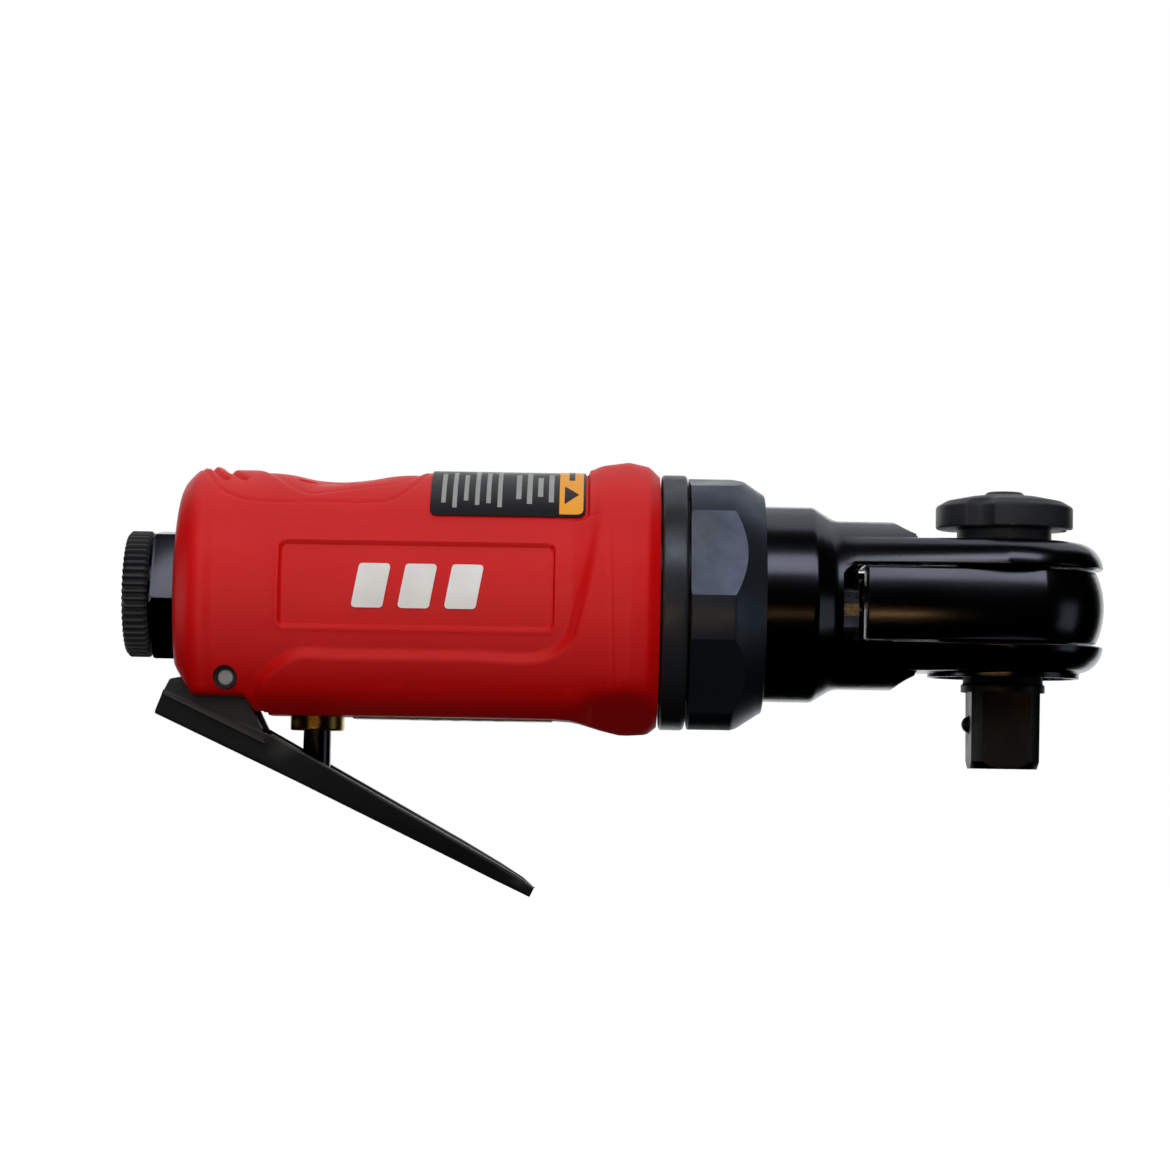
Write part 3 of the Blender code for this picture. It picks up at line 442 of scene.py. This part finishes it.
def grip_outer(x, t):
    """Radius of the grip at places along it and angles up from the near side."""
    outline = [(GRIP_REAR, 11.6), (GRIP_REAR, 15.4, 3.4), (-113.0, GRIP_RADIUS, 4.0)]
    outline += [(-61.0, GRIP_RADIUS, 3.0), (-56.0, 19.3, 2.5), (-53.2, 19.7, 2.0), (-50.4, 19.1, 1.4)]
    outline = rounded(outline + [(GRIP_FRONT, 17.7)], segments=10)
    along = [p[0] for p in outline]
    for index in range(1, len(along)):
        along[index] = max(along[index], along[index - 1] + 1e-6)
    radius = np.interp(x, along, [p[1] for p in outline])
    s = GRIP_RADIUS * t
    away, side = along_line(x, s, RIDGE)
    inside = np.where(side < 0, away, -away)
    raised = step_up(inside, -0.9, 0.7) * step_up(x, -106.5, -103.5) * (1 - step_up(x, -53.5, -50.5))
    flare = step_up(x, -62.0, -55.0)
    radius = radius - 0.55 * (1 - raised) * (1 - flare) * step_up(x, -112.0, -109.5)
    radius = radius + 0.22 * raised * (1 - flare)
    panel = rounded_box(x, s, *PANEL, 1.0)
    radius = radius - 0.5 * (1 - step_up(panel, -0.22, 0.12)) + 0.1 * np.exp(-((panel - 0.35) / 0.3) ** 2)
    away, side = along_line(x, s, DISH)
    inside = np.where(side < 0, -away, away)
    dish = step_up(inside, 0.0, 7.0)
    sag = np.exp(-((x + 94.0) / 7.0) ** 2)
    radius = radius - 1.15 * dish * sag - 0.36 * step_up(inside, -0.1, 0.5)
    radius = radius - 0.28 * np.exp(-(away / 0.4) ** 2)
    for middle in (-98.2, -92.4):
        radius = radius - 0.5 * (1 - step_up(np.hypot((x - middle) / 1.25, (s - 22.2) / 0.75), 0.75, 1.1))
    radius = radius - groove(x, s, HALO, 0.22, 0.24)
    for start in (-110.4, -107.8):
        notch = [(start - 2.2, 31.0), (start - 1.4, 25.0), (start + 0.9, 20.6)]
        radius = radius - groove(x, s, notch, 0.75, 0.5)
    radius = radius - groove(x, s, MOULD_LINE, 0.10, 0.17)
    radius = radius - groove(x, s, FRONT_LINE, 0.10, 0.22)
    label = rounded_box(x, s, *LABEL_BED, 1.0)
    radius = radius - (radius - LABEL_BED_RADIUS) * (1 - step_up(label, -0.1, 0.25))
    radius = np.minimum(radius, WIDEST_RADIUS)
    # the underside is flat along the middle, with a facet up to a crease on each side
    down = np.maximum(-np.sin(t), 0.02)
    crease = np.interp(x, [CREASE_START, -96.0, -85.0, -75.0, -63.5, -61.0, -58.0],
                       [15.2, 15.3, 16.2, 17.0, 17.2, 17.6, 18.2])
    across = np.sqrt(np.maximum(GRIP_RADIUS ** 2 - crease ** 2, 1.0))
    slope = math.radians(22.0)
    facet = (crease * math.cos(slope) + across * math.sin(slope)) / np.maximum(
        down * math.cos(slope) + np.cos(t) * math.sin(slope), 0.02)
    facet = np.where(x > CREASE_START, facet, FAR)
    floor_x = [-116.9, -113.4, -112.4, -106.2, CREASE_START, -63.5, -61.0, -59.7, -56.6, -53.2, -51.5]
    floor = np.interp(x, floor_x, [8.3, 14.3, 14.4, 14.5, 16.9, 17.0, 17.15, 17.4, 18.35, 19.2, 30.0])
    limit = np.minimum(floor / down, facet)
    # the smaller of the two radii, with the edge between them blurred
    blur = 0.45
    curved, flat = (np.exp(-np.clip(value, 0, FAR) / blur) for value in (radius, limit))
    return -blur * np.log(curved + flat)


def make_grip():
    columns = [GRIP_REAR + 0.05 * k for k in range(4)]
    while columns[-1] < GRIP_FRONT - 0.3:
        columns.append(columns[-1] + 0.27)
    columns.append(GRIP_FRONT)
    turns = 480
    angles = [math.tau * k / turns for k in range(turns)]
    x, a = np.meshgrid(np.array(columns), np.array(angles))
    t = np.arctan2(np.sin(a), np.abs(np.cos(a)))
    radius = grip_outer(x, t)
    radius[:, 0] = np.minimum(radius[:, 0], 11.8)
    rows = [list(zip(columns, radius[k])) for k in range(turns)]
    back = [(GRIP_FRONT, 17.4), (GRIP_FRONT, 15.2), (-61.9, 15.2), (-61.9, 14.3), (-91.0, 14.3), (-91.0, 0)]
    back = rounded(back)
    front = rounded([(-105.5, 0), (-105.5, 7.5), (GRIP_REAR, 7.5, 0.4), (GRIP_REAR, 11.3)])
    verts, faces = [], []
    for k in range(turns):
        for place, r in front + rows[k] + back:
            verts.append((place, -r * math.cos(angles[k]), r * math.sin(angles[k])))
    count = len(front) + len(columns) + len(back)
    for k in range(turns):
        after = (k + 1) % turns
        for index in range(count - 1):
            here, there = k * count + index, after * count + index
            faces.append((here, here + 1, there + 1, there))
    grip = made("grip_shell", verts, faces, 38, 0.0002)
    slot = rounded([(-7.0, -40.0), (7.0, -40.0), (7.0, -8.7, 0.8), (-7.0, -8.7, 0.8)], closed=True)
    combined(grip, prism("slot", slot, -125.0, -103.0, "X"))
    half_hole = [(-25.0, 0), (-25.0, 1.85), (-18.0, 1.85), (-15.0, 1.65), (-9.4, 1.65, 0.1), (-9.4, 1.45)]
    half_hole += [(-place[0],) + tuple(place[1:]) for place in reversed(half_hole)]
    hole = lathe("pin_hole", rounded(half_hole), 40, "Z")
    across(hole)
    combined(grip, hole)
    bore = lathe("valve_bore", [(-22.0, 0), (-22.0, 4.1), (12.6, 4.1), (12.6, 0)], 48, "Z")
    combined(grip, moved(bore, VALVE_X))
    recess = [(-91.6, -4.6, 0.5), (-63.2, -4.6, 0.5), (-63.2, 4.6, 0.5), (-91.6, 4.6, 0.5)]
    recess = rounded(recess, closed=True)
    combined(grip, prism("recess", recess, -21.0, -16.0))
    combined(grip, box("port", (-84.0, -3.0, -17.0), (-70.0, 3.0, -13.0)), sharp=38)
    placed(grip, "housing", "red_composite", RED, "grip_housing")


def across(piece):
    """Turn a piece drawn about the upright axis to lie across the tool at the lever's pivot."""
    for vertex in piece.data.vertices:
        vertex.co = (vertex.co.x + LEVER_PIVOT[0], vertex.co.z, LEVER_PIVOT[1] - vertex.co.y)
    return piece


def moved(piece, x=0, y=0, z=0):
    for vertex in piece.data.vertices:
        vertex.co += Vector((x, y, z))
    return piece


def patch(name, loops, low, high, across=0.35):
    """A thin skin over the grip's side: outlines in (x, arc length up from the near side)."""
    verts, faces = [], []
    for loop in loops:
        dense = []
        for a, b in zip(loop, loop[1:] + loop[:1]):
            parts = max(1, int(math.dist(a, b) / across))
            run, rise = b[0] - a[0], b[1] - a[1]
            dense += [(a[0] + run * k / parts, a[1] + rise * k / parts) for k in range(parts)]
        flat = bmesh.new()
        ring = [flat.verts.new((px, ps, 0)) for px, ps in dense]
        flat.faces.new(ring)
        bmesh.ops.triangulate(flat, faces=flat.faces)
        bottom = min(p[1] for p in dense)
        for cut in range(1, int((max(p[1] for p in dense) - bottom) / 0.5)):
            everything = flat.verts[:] + flat.edges[:] + flat.faces[:]
            level = (0, bottom + 0.5 * cut, 0)
            bmesh.ops.bisect_plane(flat, geom=everything, plane_co=level, plane_no=(0, 1, 0))
        bmesh.ops.recalc_face_normals(flat, faces=flat.faces)
        thick = bmesh.ops.extrude_face_region(flat, geom=flat.faces[:])
        tops = [g for g in thick["geom"] if isinstance(g, bmesh.types.BMVert)]
        for vertex in flat.verts:
            vertex.co.z = low
        for vertex in tops:
            vertex.co.z = high
        base = len(verts)
        flat.verts.index_update()
        for vertex in flat.verts:
            angle = vertex.co.y / GRIP_RADIUS
            r = vertex.co.z
            verts.append((vertex.co.x, -r * math.cos(angle), r * math.sin(angle)))
        for face in flat.faces:
            faces.append(tuple(base + v.index for v in face.verts))
        flat.free()
    return made(name, verts, faces, 40, 0.0001)


def bar(left, start, width, length):
    return [(left, start), (left + width, start), (left + width, start + length), (left, start + length)]


def make_trim():
    slant = 1.1
    marks = []
    for index in range(3):
        left = -91.1 + index * 6.35
        marks.append(rounded([(left, -2.3, 0.6), (left + 4.3, -2.3, 0.6), (left + 4.3 + slant, 4.1, 0.6),
                              (left + slant, 4.1, 0.6)], closed=True))
    placed(patch("panel_marks", marks, 17.2, 17.52), "housing", "label", WHITE_INK)
    top = 45.6
    film = [(-80.7, 11.8, 1.2), (-59.3, 11.8, 1.2), (-59.3, top, 1.2), (-80.7, top, 1.2)]
    film = rounded(film, closed=True)
    placed(patch("label_film", [film], 17.86, 18.06), "housing", "label", FILM, "safety_label")
    amber = [(-62.9, 12.2, 0.2), (-59.6, 12.2, 1.0), (-59.6, top - 0.35, 1.0), (-62.9, top - 0.35, 0.2)]
    amber = rounded(amber, closed=True)
    placed(patch("label_amber", [amber], 18.03, 18.11), "housing", "label", AMBER)
    bars = []
    fine = ((9, 14.2), (11, 13.2), (8, 14.7), (12, 13.8), (10, 14.2), (11.5, 13.4))
    for index, (length, start) in enumerate(fine):
        bars.append(bar(-79.2 + index * 1.55, start, 0.62, length))
    for index, (length, start) in enumerate(((8, 15.2), (10, 14.2), (6, 15.8), (9, 14.6))):
        bars.append(bar(-68.9 + index * 1.5, start, 0.72, length))
    placed(patch("label_bars", bars, 18.03, 18.10), "housing", "label", GREY_INK)
    stripe = [(-61.6, 20.8), (-60.8, 20.8), (-60.8, 31.0), (-61.6, 31.0)]
    marks = [[(-62.2, 14.2), (-60.2, 16.4), (-62.2, 18.6)], stripe]
    placed(patch("label_marks", marks, 18.09, 18.14), "housing", "label", FILM)


# Inlet

def make_inlet():
    teeth = 52
    plain_radius = 8.2

    def knurl(index, place, radius, angle):
        if radius < plain_radius:
            return radius
        wave = math.cos(teeth * angle)
        groove = 0.5 - 0.5 * max(-1, min(1, wave * 1.8))
        return radius - 0.62 * groove
    ring = [(-123.6, 7.5, 0.1), (-123.6, 8.35, 0.1), (-123.1, 8.9, 0.25)]
    ring += [(-120.5, 8.9, 0.25), (-120.0, 8.4, 0.1), (-120.0, 7.5, 0.1)]
    ring = rounded(ring, closed=True, segments=3)
    knurled = lathe("knurled_ring", ring, teeth * 10, "X", True, 40, knurl)
    placed(knurled, "regulator", "black_steel", OXIDE_RING, "regulator_ring")

    body = [(-123.2, 0), (-123.2, 7.2, 0.3), (-110.3, 7.2), (-110.3, 5.9)]
    body += [(-108.3, 5.9), (-108.3, 7.2), (-106.0, 7.2), (-106.0, 0)]
    bushing = lathe("inlet_bushing_body", rounded(body), 96)
    hexagon = arc((0, 0), HEX_FLATS / 2 / math.cos(math.pi / 6), 186, 546, 6)[:-1]
    nut = prism("inlet_hexagon", hexagon, -119.6, -115.9, "X")
    chamfer = rounded([(-120.2, 0), (-120.2, 9.2), (-119.0, 10.2), (-115.5, 10.2), (-115.5, 0)])
    combined(nut, lathe("hex_chamfer", chamfer, 96), "INTERSECT", 20)
    combined(bushing, nut, "UNION", 20)
    bore = [(-126.0, 0), (-126.0, 6.6), (-123.3, 6.6), (-122.5, 5.7)]
    bore += [(-114.0, 5.7), (-114.0, 3.4), (-104.0, 3.4), (-104.0, 0)]
    combined(bushing, lathe("inlet_bore", rounded(bore), 96), sharp=20)
    softened(bushing, 0.12, 35, 2, 20)
    placed(bushing, "housing", "black_steel", OXIDE, "inlet_bushing")


# Valve and lever

def make_valve():
    outline = [(-18.9, 2.25), (-18.9, 3.8, 0.4), (-5.0, 3.8), (-5.0, 3.0), (-11.0, 3.0)]
    outline += [(-11.0, 2.25), (-14.2, 2.25), (-14.2, 3.4), (-15.8, 3.4), (-15.8, 2.25)]
    guide = lathe("brass_guide", rounded(outline, closed=True), 64, "Z", True)
    placed(moved(guide, VALVE_X), "housing", "brass", BRASS, "valve_bushing")
    outline = [(-24.8, 0), (-24.8, 1.1, 0.15), (-23.9, 1.95, 0.2), (-5.1, 1.95), (-5.1, 1.0)]
    outline = rounded(outline + [(1.5, 1.0), (1.5, 0)])
    placed(moved(lathe("stem_rod", outline, 64, "Z"), VALVE_X), "stem", "black_steel", OXIDE, "valve_stem")


def lever_section(u, half, top, web, bottom, wall):
    """The lever's bent sheet at one station, with round corners, as (u, y, w)."""
    lean = math.atan2(top - bottom, half - web)
    outside = [(half, top, 0.3), (web + 0.2, bottom, 1.3), (-web - 0.2, bottom, 1.3), (-half, top, 0.3)]
    drop = wall / math.sin(lean)
    inside = [(-half + drop, top, 0.3), (-web + 0.9, bottom + wall, 0.7)]
    inside += [(web - 0.9, bottom + wall, 0.7), (half - drop, top, 0.3)]
    return [(u, y, w) for y, w in rounded(outside + inside, closed=True, segments=4)]


def make_lever():
    wall = 1.5
    u = np.array([-7.7, -7.5, 8.8, 15.0, 27.0, 39.0, 45.0, 48.8, 50.8])
    half = np.array([6.4, 6.45, 6.5, 7.4, 8.0, 7.8, 6.6, 4.2, 2.2])
    top = np.array([-5.46, -5.41, -4.41, -4.86, -5.66, -6.46, -6.96, -7.36, -7.9])
    web = np.array([4.4, 4.4, 4.0, 3.9, 3.9, 3.8, 3.4, 2.6, 1.6])
    bottom = np.array([-8.96, -9.01, -8.96, -8.96, -9.06, -9.16, -9.26, -9.31, -9.36])
    ends = np.concatenate([[-7.7, -7.5, -1.0, 8.8, 11.0], np.arange(15.0, 40.0, 4.0),
                           [42.0, 45.0, 47.0, 48.8, 50.0, 50.8]])
    rows = np.column_stack([ends] + [np.interp(ends, u, values) for values in (half, top, web, bottom)])
    lever = stacked("lever_plate", [lever_section(*row, wall) for row in rows], 35)
    ear = [(-7.6, -6.1), (-7.6, -3.66, 0.6), (-3.9, -1.0, 0.8)] + arc((0, 0), 2.7, 165, 15, 16)
    ear += [(4.2, -2.1, 1.5), (7.4, -4.66, 0.8), (8.4, -6.1)]
    for side in (-1, 1):
        plate = prism("ear", rounded(ear), side * 5.5 - wall / 2, side * 5.5 + wall / 2, "Y")
        hole = prism("ear_hole", circle(1.45, 32), -10, 10, "Y")
        combined(plate, hole)
        combined(lever, plate, "UNION", 35)
    softened(lever, 0.16, 50, 2, 35)
    turn_down = (math.cos(LEVER_ANGLE), math.sin(LEVER_ANGLE))
    for vertex in lever.data.vertices:
        u, w = vertex.co.x, vertex.co.z
        vertex.co.x = LEVER_PIVOT[0] + u * turn_down[0] + w * turn_down[1]
        vertex.co.z = LEVER_PIVOT[1] - u * turn_down[1] + w * turn_down[0]
    placed(lever, "lever", "black_steel", LEVER_BLACK, "throttle_lever")
    outline = rounded([(-12.6, 0), (-12.6, 1.15, 0.35), (12.6, 1.15, 0.35), (12.6, 0)])
    placed(across(lathe("pin_rod", outline, 40, "Z")), "housing", "bright_steel", PIN_STEEL, "lever_pin")
    # Painted shade: dark sleeves line the pin's hole in the grip where the hole lies in shadow; they are not
    # a real part
    for name, side in (("pin_hole_shade_right", 1), ("pin_hole_shade_left", -1)):
        outline = [(side * 9.5, 1.18), (side * 9.5, 1.6), (side * 13.0, 1.6), (side * 13.0, 1.18)]
        placed(across(lathe(name, outline, 40, "Z", True)), "housing", "rubber", RUBBER_AND_HOLE_SHADE)


# Collar and nut

def make_coupling():
    outline = [(-61.6, 13.2), (-61.6, 14.9), (-48.6, 14.9), (-48.6, 18.0, 0.5), (-45.0, 18.0, 0.7)]
    outline += [(-45.0, 14.5), (-41.0, 14.5), (-41.0, 13.2)]
    collar = lathe("collar_ring", rounded(outline, closed=True), 180, "X", True, 25)
    placed(collar, "housing", "black_steel", OXIDE_TURNED, "threaded_collar")
    outline = [(-44.7, 14.9), (-44.7, 18.3, 0.35), (-38.6, 18.3, 0.5), (-37.0, 17.2, 0.8), (-34.9, 15.8, 0.5)]
    outline += [(-34.2, 15.4, 0.2), (-34.2, 14.15), (-37.9, 14.15), (-37.9, 14.9)]
    nut = lathe("nut_body", rounded(outline, closed=True), 240, "X", True, 15)
    corner = NUT_FLATS / 2 / math.cos(math.pi / 6)
    hexagon = arc((0, 0), corner, 188.8, 548.8, 6)[:-1]
    combined(nut, prism("hexagon", hexagon, -50.0, -30.0, "X"), "INTERSECT", 15)
    placed(nut, "housing", "black_steel", OXIDE_NUT, "coupling_nut")


# Head

def make_head():
    outline = [(-38.0, 0), (-38.0, 10.0), (-40.6, 10.0), (-40.6, 14.0), (-38.2, 14.0), (-38.2, 13.8, 0.2)]
    outline += [(-27.2, 13.8, 1.6), (-24.2, 11.9, 3.2), (-13.0, 11.9), (-13.0, 0)]
    head = lathe("head_body", rounded(outline, segments=8), 160, "X", False, 25)
    rings = []
    for height in np.linspace(-EAR - 0.02, EAR + 0.02, 63):
        edge = np.clip(abs(height) - EAR + EAR_EDGE, 0, EAR_EDGE)
        inset = EAR_EDGE - math.sqrt(EAR_EDGE ** 2 - edge ** 2)
        tang = math.sqrt(11.88 ** 2 - height ** 2)
        plan = [(-21.8, -tang)] + arc((0, 0), 13.95 - inset, -95.5, 95.5, 90) + [(-21.8, tang)]
        rings.append([(x, y, height) for x, y in plan])
    combined(head, stacked("ears", rings), "UNION", 25)
    side = [(-42, -20), (-30, -20), (-30, -14.5), (-25, -14.5), (-22, -12.6), (-16.6, -12.6)]
    side += arc((-9.6, -EAR - 8.6), 8.6, 148, 90, 12)
    side += arc((9.95, -EAR + EAR_EDGE), EAR_EDGE, -90, 0, 12)
    side += arc((9.95, EAR - EAR_EDGE), EAR_EDGE, 0, 90, 12)
    side += arc((-9.6, EAR + 8.6), 8.6, -90, -148, 12)[1:]
    side += [(-16.6, 12.6), (-22, 12.6), (-25, 14.5), (-30, 14.5), (-30, 20), (-42, 20)]
    combined(head, prism("side", side, -25, 25, "Y"), "INTERSECT", 25)
    boss = lathe("boss", rounded([(-9.95, 0), (-9.95, 10.65, 0.15), (-5.0, 10.65), (-5.0, 0)]), 128, "Z")
    combined(head, boss, "UNION", 25)
    slot = [(-23.4, -SLOT, 0.4), (20, -SLOT), (20, SLOT), (-21.9, SLOT, 0.5), (-23.4, SLOT - 1.5, 0.3)]
    slot = rounded(slot, closed=True)
    combined(head, prism("slot", slot, -25, 25, "Y"), sharp=25)
    bore = [(-41.0, 0), (-41.0, 10.0), (-38.0, 10.0), (-38.0, 7.8), (-20.0, 7.8), (-20.0, 0)]
    combined(head, lathe("bearing_bore", bore, 96), sharp=25)
    upper = [(0, 0), (0, 6.9), (12.0, 6.9), (12.0, 0)]
    combined(head, lathe("upper_bore", rounded(upper), 96, "Z"), sharp=25)
    lower = [(-12.0, 0), (-12.0, 10.2), (-9.7, 9.9), (-9.4, 9.9), (-9.4, 10.3), (-8.0, 10.3)]
    lower += [(-8.0, 10.2), (0, 10.2), (0, 0)]
    combined(head, lathe("lower_bore", lower, 128, "Z"), sharp=25)
    softened(head, 0.32, 38, 3, 25)
    placed(head, "housing", "black_steel", OXIDE, "ratchet_head")


def make_yoke():
    half = 13.4
    fork = 6.0
    crown = 12.0
    rings = []
    for height in np.linspace(-5.05, 5.05, 23):
        inset = crown - math.sqrt(crown ** 2 - height ** 2)
        radius, side = 14.05 - inset, half - inset
        corner = math.degrees(math.asin(side / radius))
        plan = [(-20.2, -side)] + arc((0, 0), radius, -corner, corner, 90)
        plan += [(-20.2, side), (-20.2, fork), (-15.3, fork), (-15.3, -fork), (-20.2, -fork)]
        rings.append([(x, y, height) for x, y in plan])
    yoke = stacked("yoke_body", rings)
    teeth = []
    for index in range(36):
        for share, radius in ((0, 9.5), (0.5, 10.5)):
            angle = math.tau * (index + share) / 36
            teeth.append((radius * math.cos(angle), radius * math.sin(angle)))
    combined(yoke, prism("teeth", teeth, -8, 8), sharp=25)
    softened(yoke, 0.3, 50, 3, 25)
    placed(yoke, "yoke", "black_steel", OXIDE, "ratchet_yoke")


def make_anvil():
    outline = [(-22.7, 0), (-22.7, 4.9, 0.15), (-21.7, 5.9, 0.15), (-11.0, 5.9, 0.1), (-10.7, 5.6)]
    outline += [(-6.8, 5.6), (-6.8, 9.8), (-5.3, 9.8), (-5.3, 9.1), (5.0, 9.1), (5.0, 6.6)]
    outline += [(EAR, 6.6, 0.2), (EAR, 3.2), (-4.6, 3.2), (-4.6, 0)]
    anvil = lathe("drive_anvil", rounded(outline), 160, "Z", False, 25)
    half = DRIVE_SIDE / 2
    square = [(-half, -half), (half, -half), (half, half), (-half, half)]
    sleeve = lathe("sleeve", [(-30.0, 0), (-30.0, 9.0), (-14.6, 9.0), (-10.9, 4.6), (-10.9, 0)], 96, "Z")
    arch = prism("square", square, -40, -5)
    combined(sleeve, arch, sharp=25)
    combined(anvil, sleeve, sharp=25)
    combined(anvil, box("pocket", (1.0, -12.0, -3.5), (12.0, 12.0, 3.5)), sharp=25)
    combined(anvil, moved(prism("pin", circle(1.2, 24), -4.5, 4.5), 6.2), sharp=25)
    hole = lathe("ball_hole", [(-6.0, 0), (-6.0, 1.35), (1.5, 1.35), (1.5, 0)], 40)
    combined(anvil, moved(hole, z=BALL_Z), sharp=25)
    softened(anvil, 0.1, 40, 2, 25)
    placed(anvil, "anvil", "black_steel", OXIDE_MATTE, "anvil")
    ball = bpy.data.meshes.new("detent_ball")
    shape = bmesh.new()
    bmesh.ops.create_uvsphere(shape, u_segments=32, v_segments=16, radius=BALL_RADIUS)
    flat_at = 0.9
    for vertex in shape.verts:
        if vertex.co.x > flat_at:
            vertex.co.x = flat_at
    shape.to_mesh(ball)
    shape.free()
    piece = bpy.data.objects.new("detent_ball", ball)
    bpy.context.scene.collection.objects.link(piece)
    smooth(piece, 40)
    placed(moved(piece, -4.6, 0, BALL_Z), "socket_ball", "bright_steel", OXIDE_MATTE, "socket_ball")


def make_knob():
    lean = math.radians(25.0)
    outline = [(-4.0, 0), (-4.0, 2.9), (9.5, 2.9), (9.5, 6.65, 0.2), (11.1, 6.65, 0.5), (11.1, 9.65, 0.35)]
    outline += [(14.2, 9.65, 0.6), (15.05, 8.2, 1.0), (15.7, 5.0, 1.0), (15.95, 2.9, 0.3)]
    outline = rounded(outline + [(16.4, 2.4, 0.3), (16.4, 0)])
    half_notch = math.radians(13.0)
    round_radius = 6.9

    def lobed(index, place, radius, angle):
        if radius < round_radius:
            return radius
        turn = (angle - NOTCH + math.pi / 3) % (math.tau / 3) - math.pi / 3
        dip = max(0.0, 1 - (turn / half_notch) ** 2)
        return radius - 1.5 * dip * min(1.0, (radius - round_radius) / 2.0)
    knob = lathe("knob_body", outline, 240, "Z", False, 28, lobed)
    hole = lathe("detent_hole", [(-1.6, 0), (-1.6, 1.2), (5.0, 1.2), (5.0, 0)], 32)
    for vertex in hole.data.vertices:
        x, y = vertex.co.x, vertex.co.y
        vertex.co.x = x * math.cos(lean) - y * math.sin(lean)
        vertex.co.y = x * math.sin(lean) + y * math.cos(lean)
    combined(knob, hole, sharp=28)
    placed(knob, "knob", "black_steel", OXIDE_RING, "reverse_knob")


make_grip()
make_trim()
make_inlet()
make_valve()
make_lever()
make_coupling()
make_head()
make_yoke()
make_anvil()
make_knob()


# Stage, lights and camera

def plain(name, colour, glow):
    material = finish(name, colour, colour, 0.8, grain=60.0, bump=0.02, patches=4.0)
    shader = material.node_tree.nodes["Principled BSDF"]
    shader.inputs["Emission Color"].default_value = (1, 1, 1, 1)
    shader.inputs["Emission Strength"].default_value = glow
    return material


def make_stage():
    floor_low = CAD_BOX[0].z - 0.03
    bpy.ops.mesh.primitive_grid_add(x_subdivisions=8, y_subdivisions=8, size=16, location=(0, 0, floor_low))
    floor = bpy.context.object
    floor.name = "studio_floor"
    floor.data.materials.append(plain("pale_floor", (0.05, 0.05, 0.05), 1.0))
    floor.visible_glossy = False
    floor.visible_diffuse = False
    world = bpy.context.scene.world or bpy.data.worlds.new("studio")
    bpy.context.scene.world = world
    world.use_nodes = True
    nodes = world.node_tree.nodes
    background = nodes.get("Background") or nodes.new("ShaderNodeBackground")
    background.inputs["Color"].default_value = (1, 1, 1, 1)
    background.inputs["Strength"].default_value = 1.0
    world.cycles_visibility.glossy = False
    world.cycles_visibility.diffuse = False


MIDDLE = Vector((-0.059, 0, AXIS_HEIGHT))


def panel_light(name, height_angle, distance, width, height, power, colour, seen=True, azimuth=0.0):
    """A soft panel facing the tool, at an angle above the level of the near side."""
    lamp = bpy.data.lights.new(name, "AREA")
    lamp.shape = "RECTANGLE"
    lamp.size = width
    lamp.size_y = height
    lamp.energy = power
    lamp.color = colour
    light = bpy.data.objects.new(name, lamp)
    up, turn = math.radians(height_angle), math.radians(azimuth)
    away = Vector((math.sin(turn) * math.cos(up), -math.cos(turn) * math.cos(up), math.sin(up)))
    light.location = MIDDLE + away * distance
    light.rotation_euler = away.to_track_quat("Z", "Y").to_euler()
    light.visible_glossy = seen
    light.visible_camera = False
    bpy.context.scene.collection.objects.link(light)
    return light


def make_lights():
    panel_light("top_softbox", 46, 0.75, 1.1, 0.30, 1.25, (0.90, 0.93, 1.0))
    panel_light("warm_strip", -14, 0.70, 0.55, 0.05, 0.15, (1.0, 0.58, 0.22), True, -16)
    panel_light("right_panel", -8, 0.8, 0.3, 0.35, 0.07, (0.85, 1.0, 1.0), True, 75)
    panel_light("left_panel", 0, 0.8, 0.5, 0.35, 0.50, (1.0, 1.0, 1.0), True, -90)
    panel_light("front_fill", 8, 0.8, 0.9, 0.7, 4.8, (1, 0.99, 0.98), False)
    panel_light("low_fill", -40, 0.8, 0.9, 0.7, 2.0, (1, 0.98, 0.97), False)
    panel_light("top_fill", 85, 0.8, 1.2, 0.8, 5.0, (1, 1, 1), False)
    panel_light("back_fill", 150, 0.9, 1.0, 0.8, 4.5, (1, 1, 1), False)
    panel_light("backdrop_glow", 180, 0.9, 1.6, 0.9, 5.0, (0.97, 1.0, 0.98))
    panel_light("backdrop_upper", 122, 0.9, 1.6, 0.9, 2.3, (0.95, 0.98, 1.0))


def make_camera():
    data = bpy.data.cameras.new("camera")
    data.lens = 102.25
    data.sensor_width = 36
    data.clip_start = 0.01
    camera = bpy.data.objects.new("camera", data)
    bpy.context.scene.collection.objects.link(camera)
    below = math.radians(3.2)
    roll = math.radians(0.95)
    distance = 0.47
    target = Vector((-0.0592, 0, AXIS_HEIGHT + 0.00232))
    away = Vector((0, -math.cos(below), -math.sin(below)))
    camera.location = target + away * distance
    turn = away.to_track_quat("Z", "Y").to_matrix()
    tilt = Vector((0, 0, 1))
    camera.rotation_euler = (turn @ Matrix.Rotation(roll, 3, tilt)).to_euler()
    bpy.context.scene.camera = camera


make_stage()
make_lights()
make_camera()
bpy.context.scene.view_settings.view_transform = "Standard"
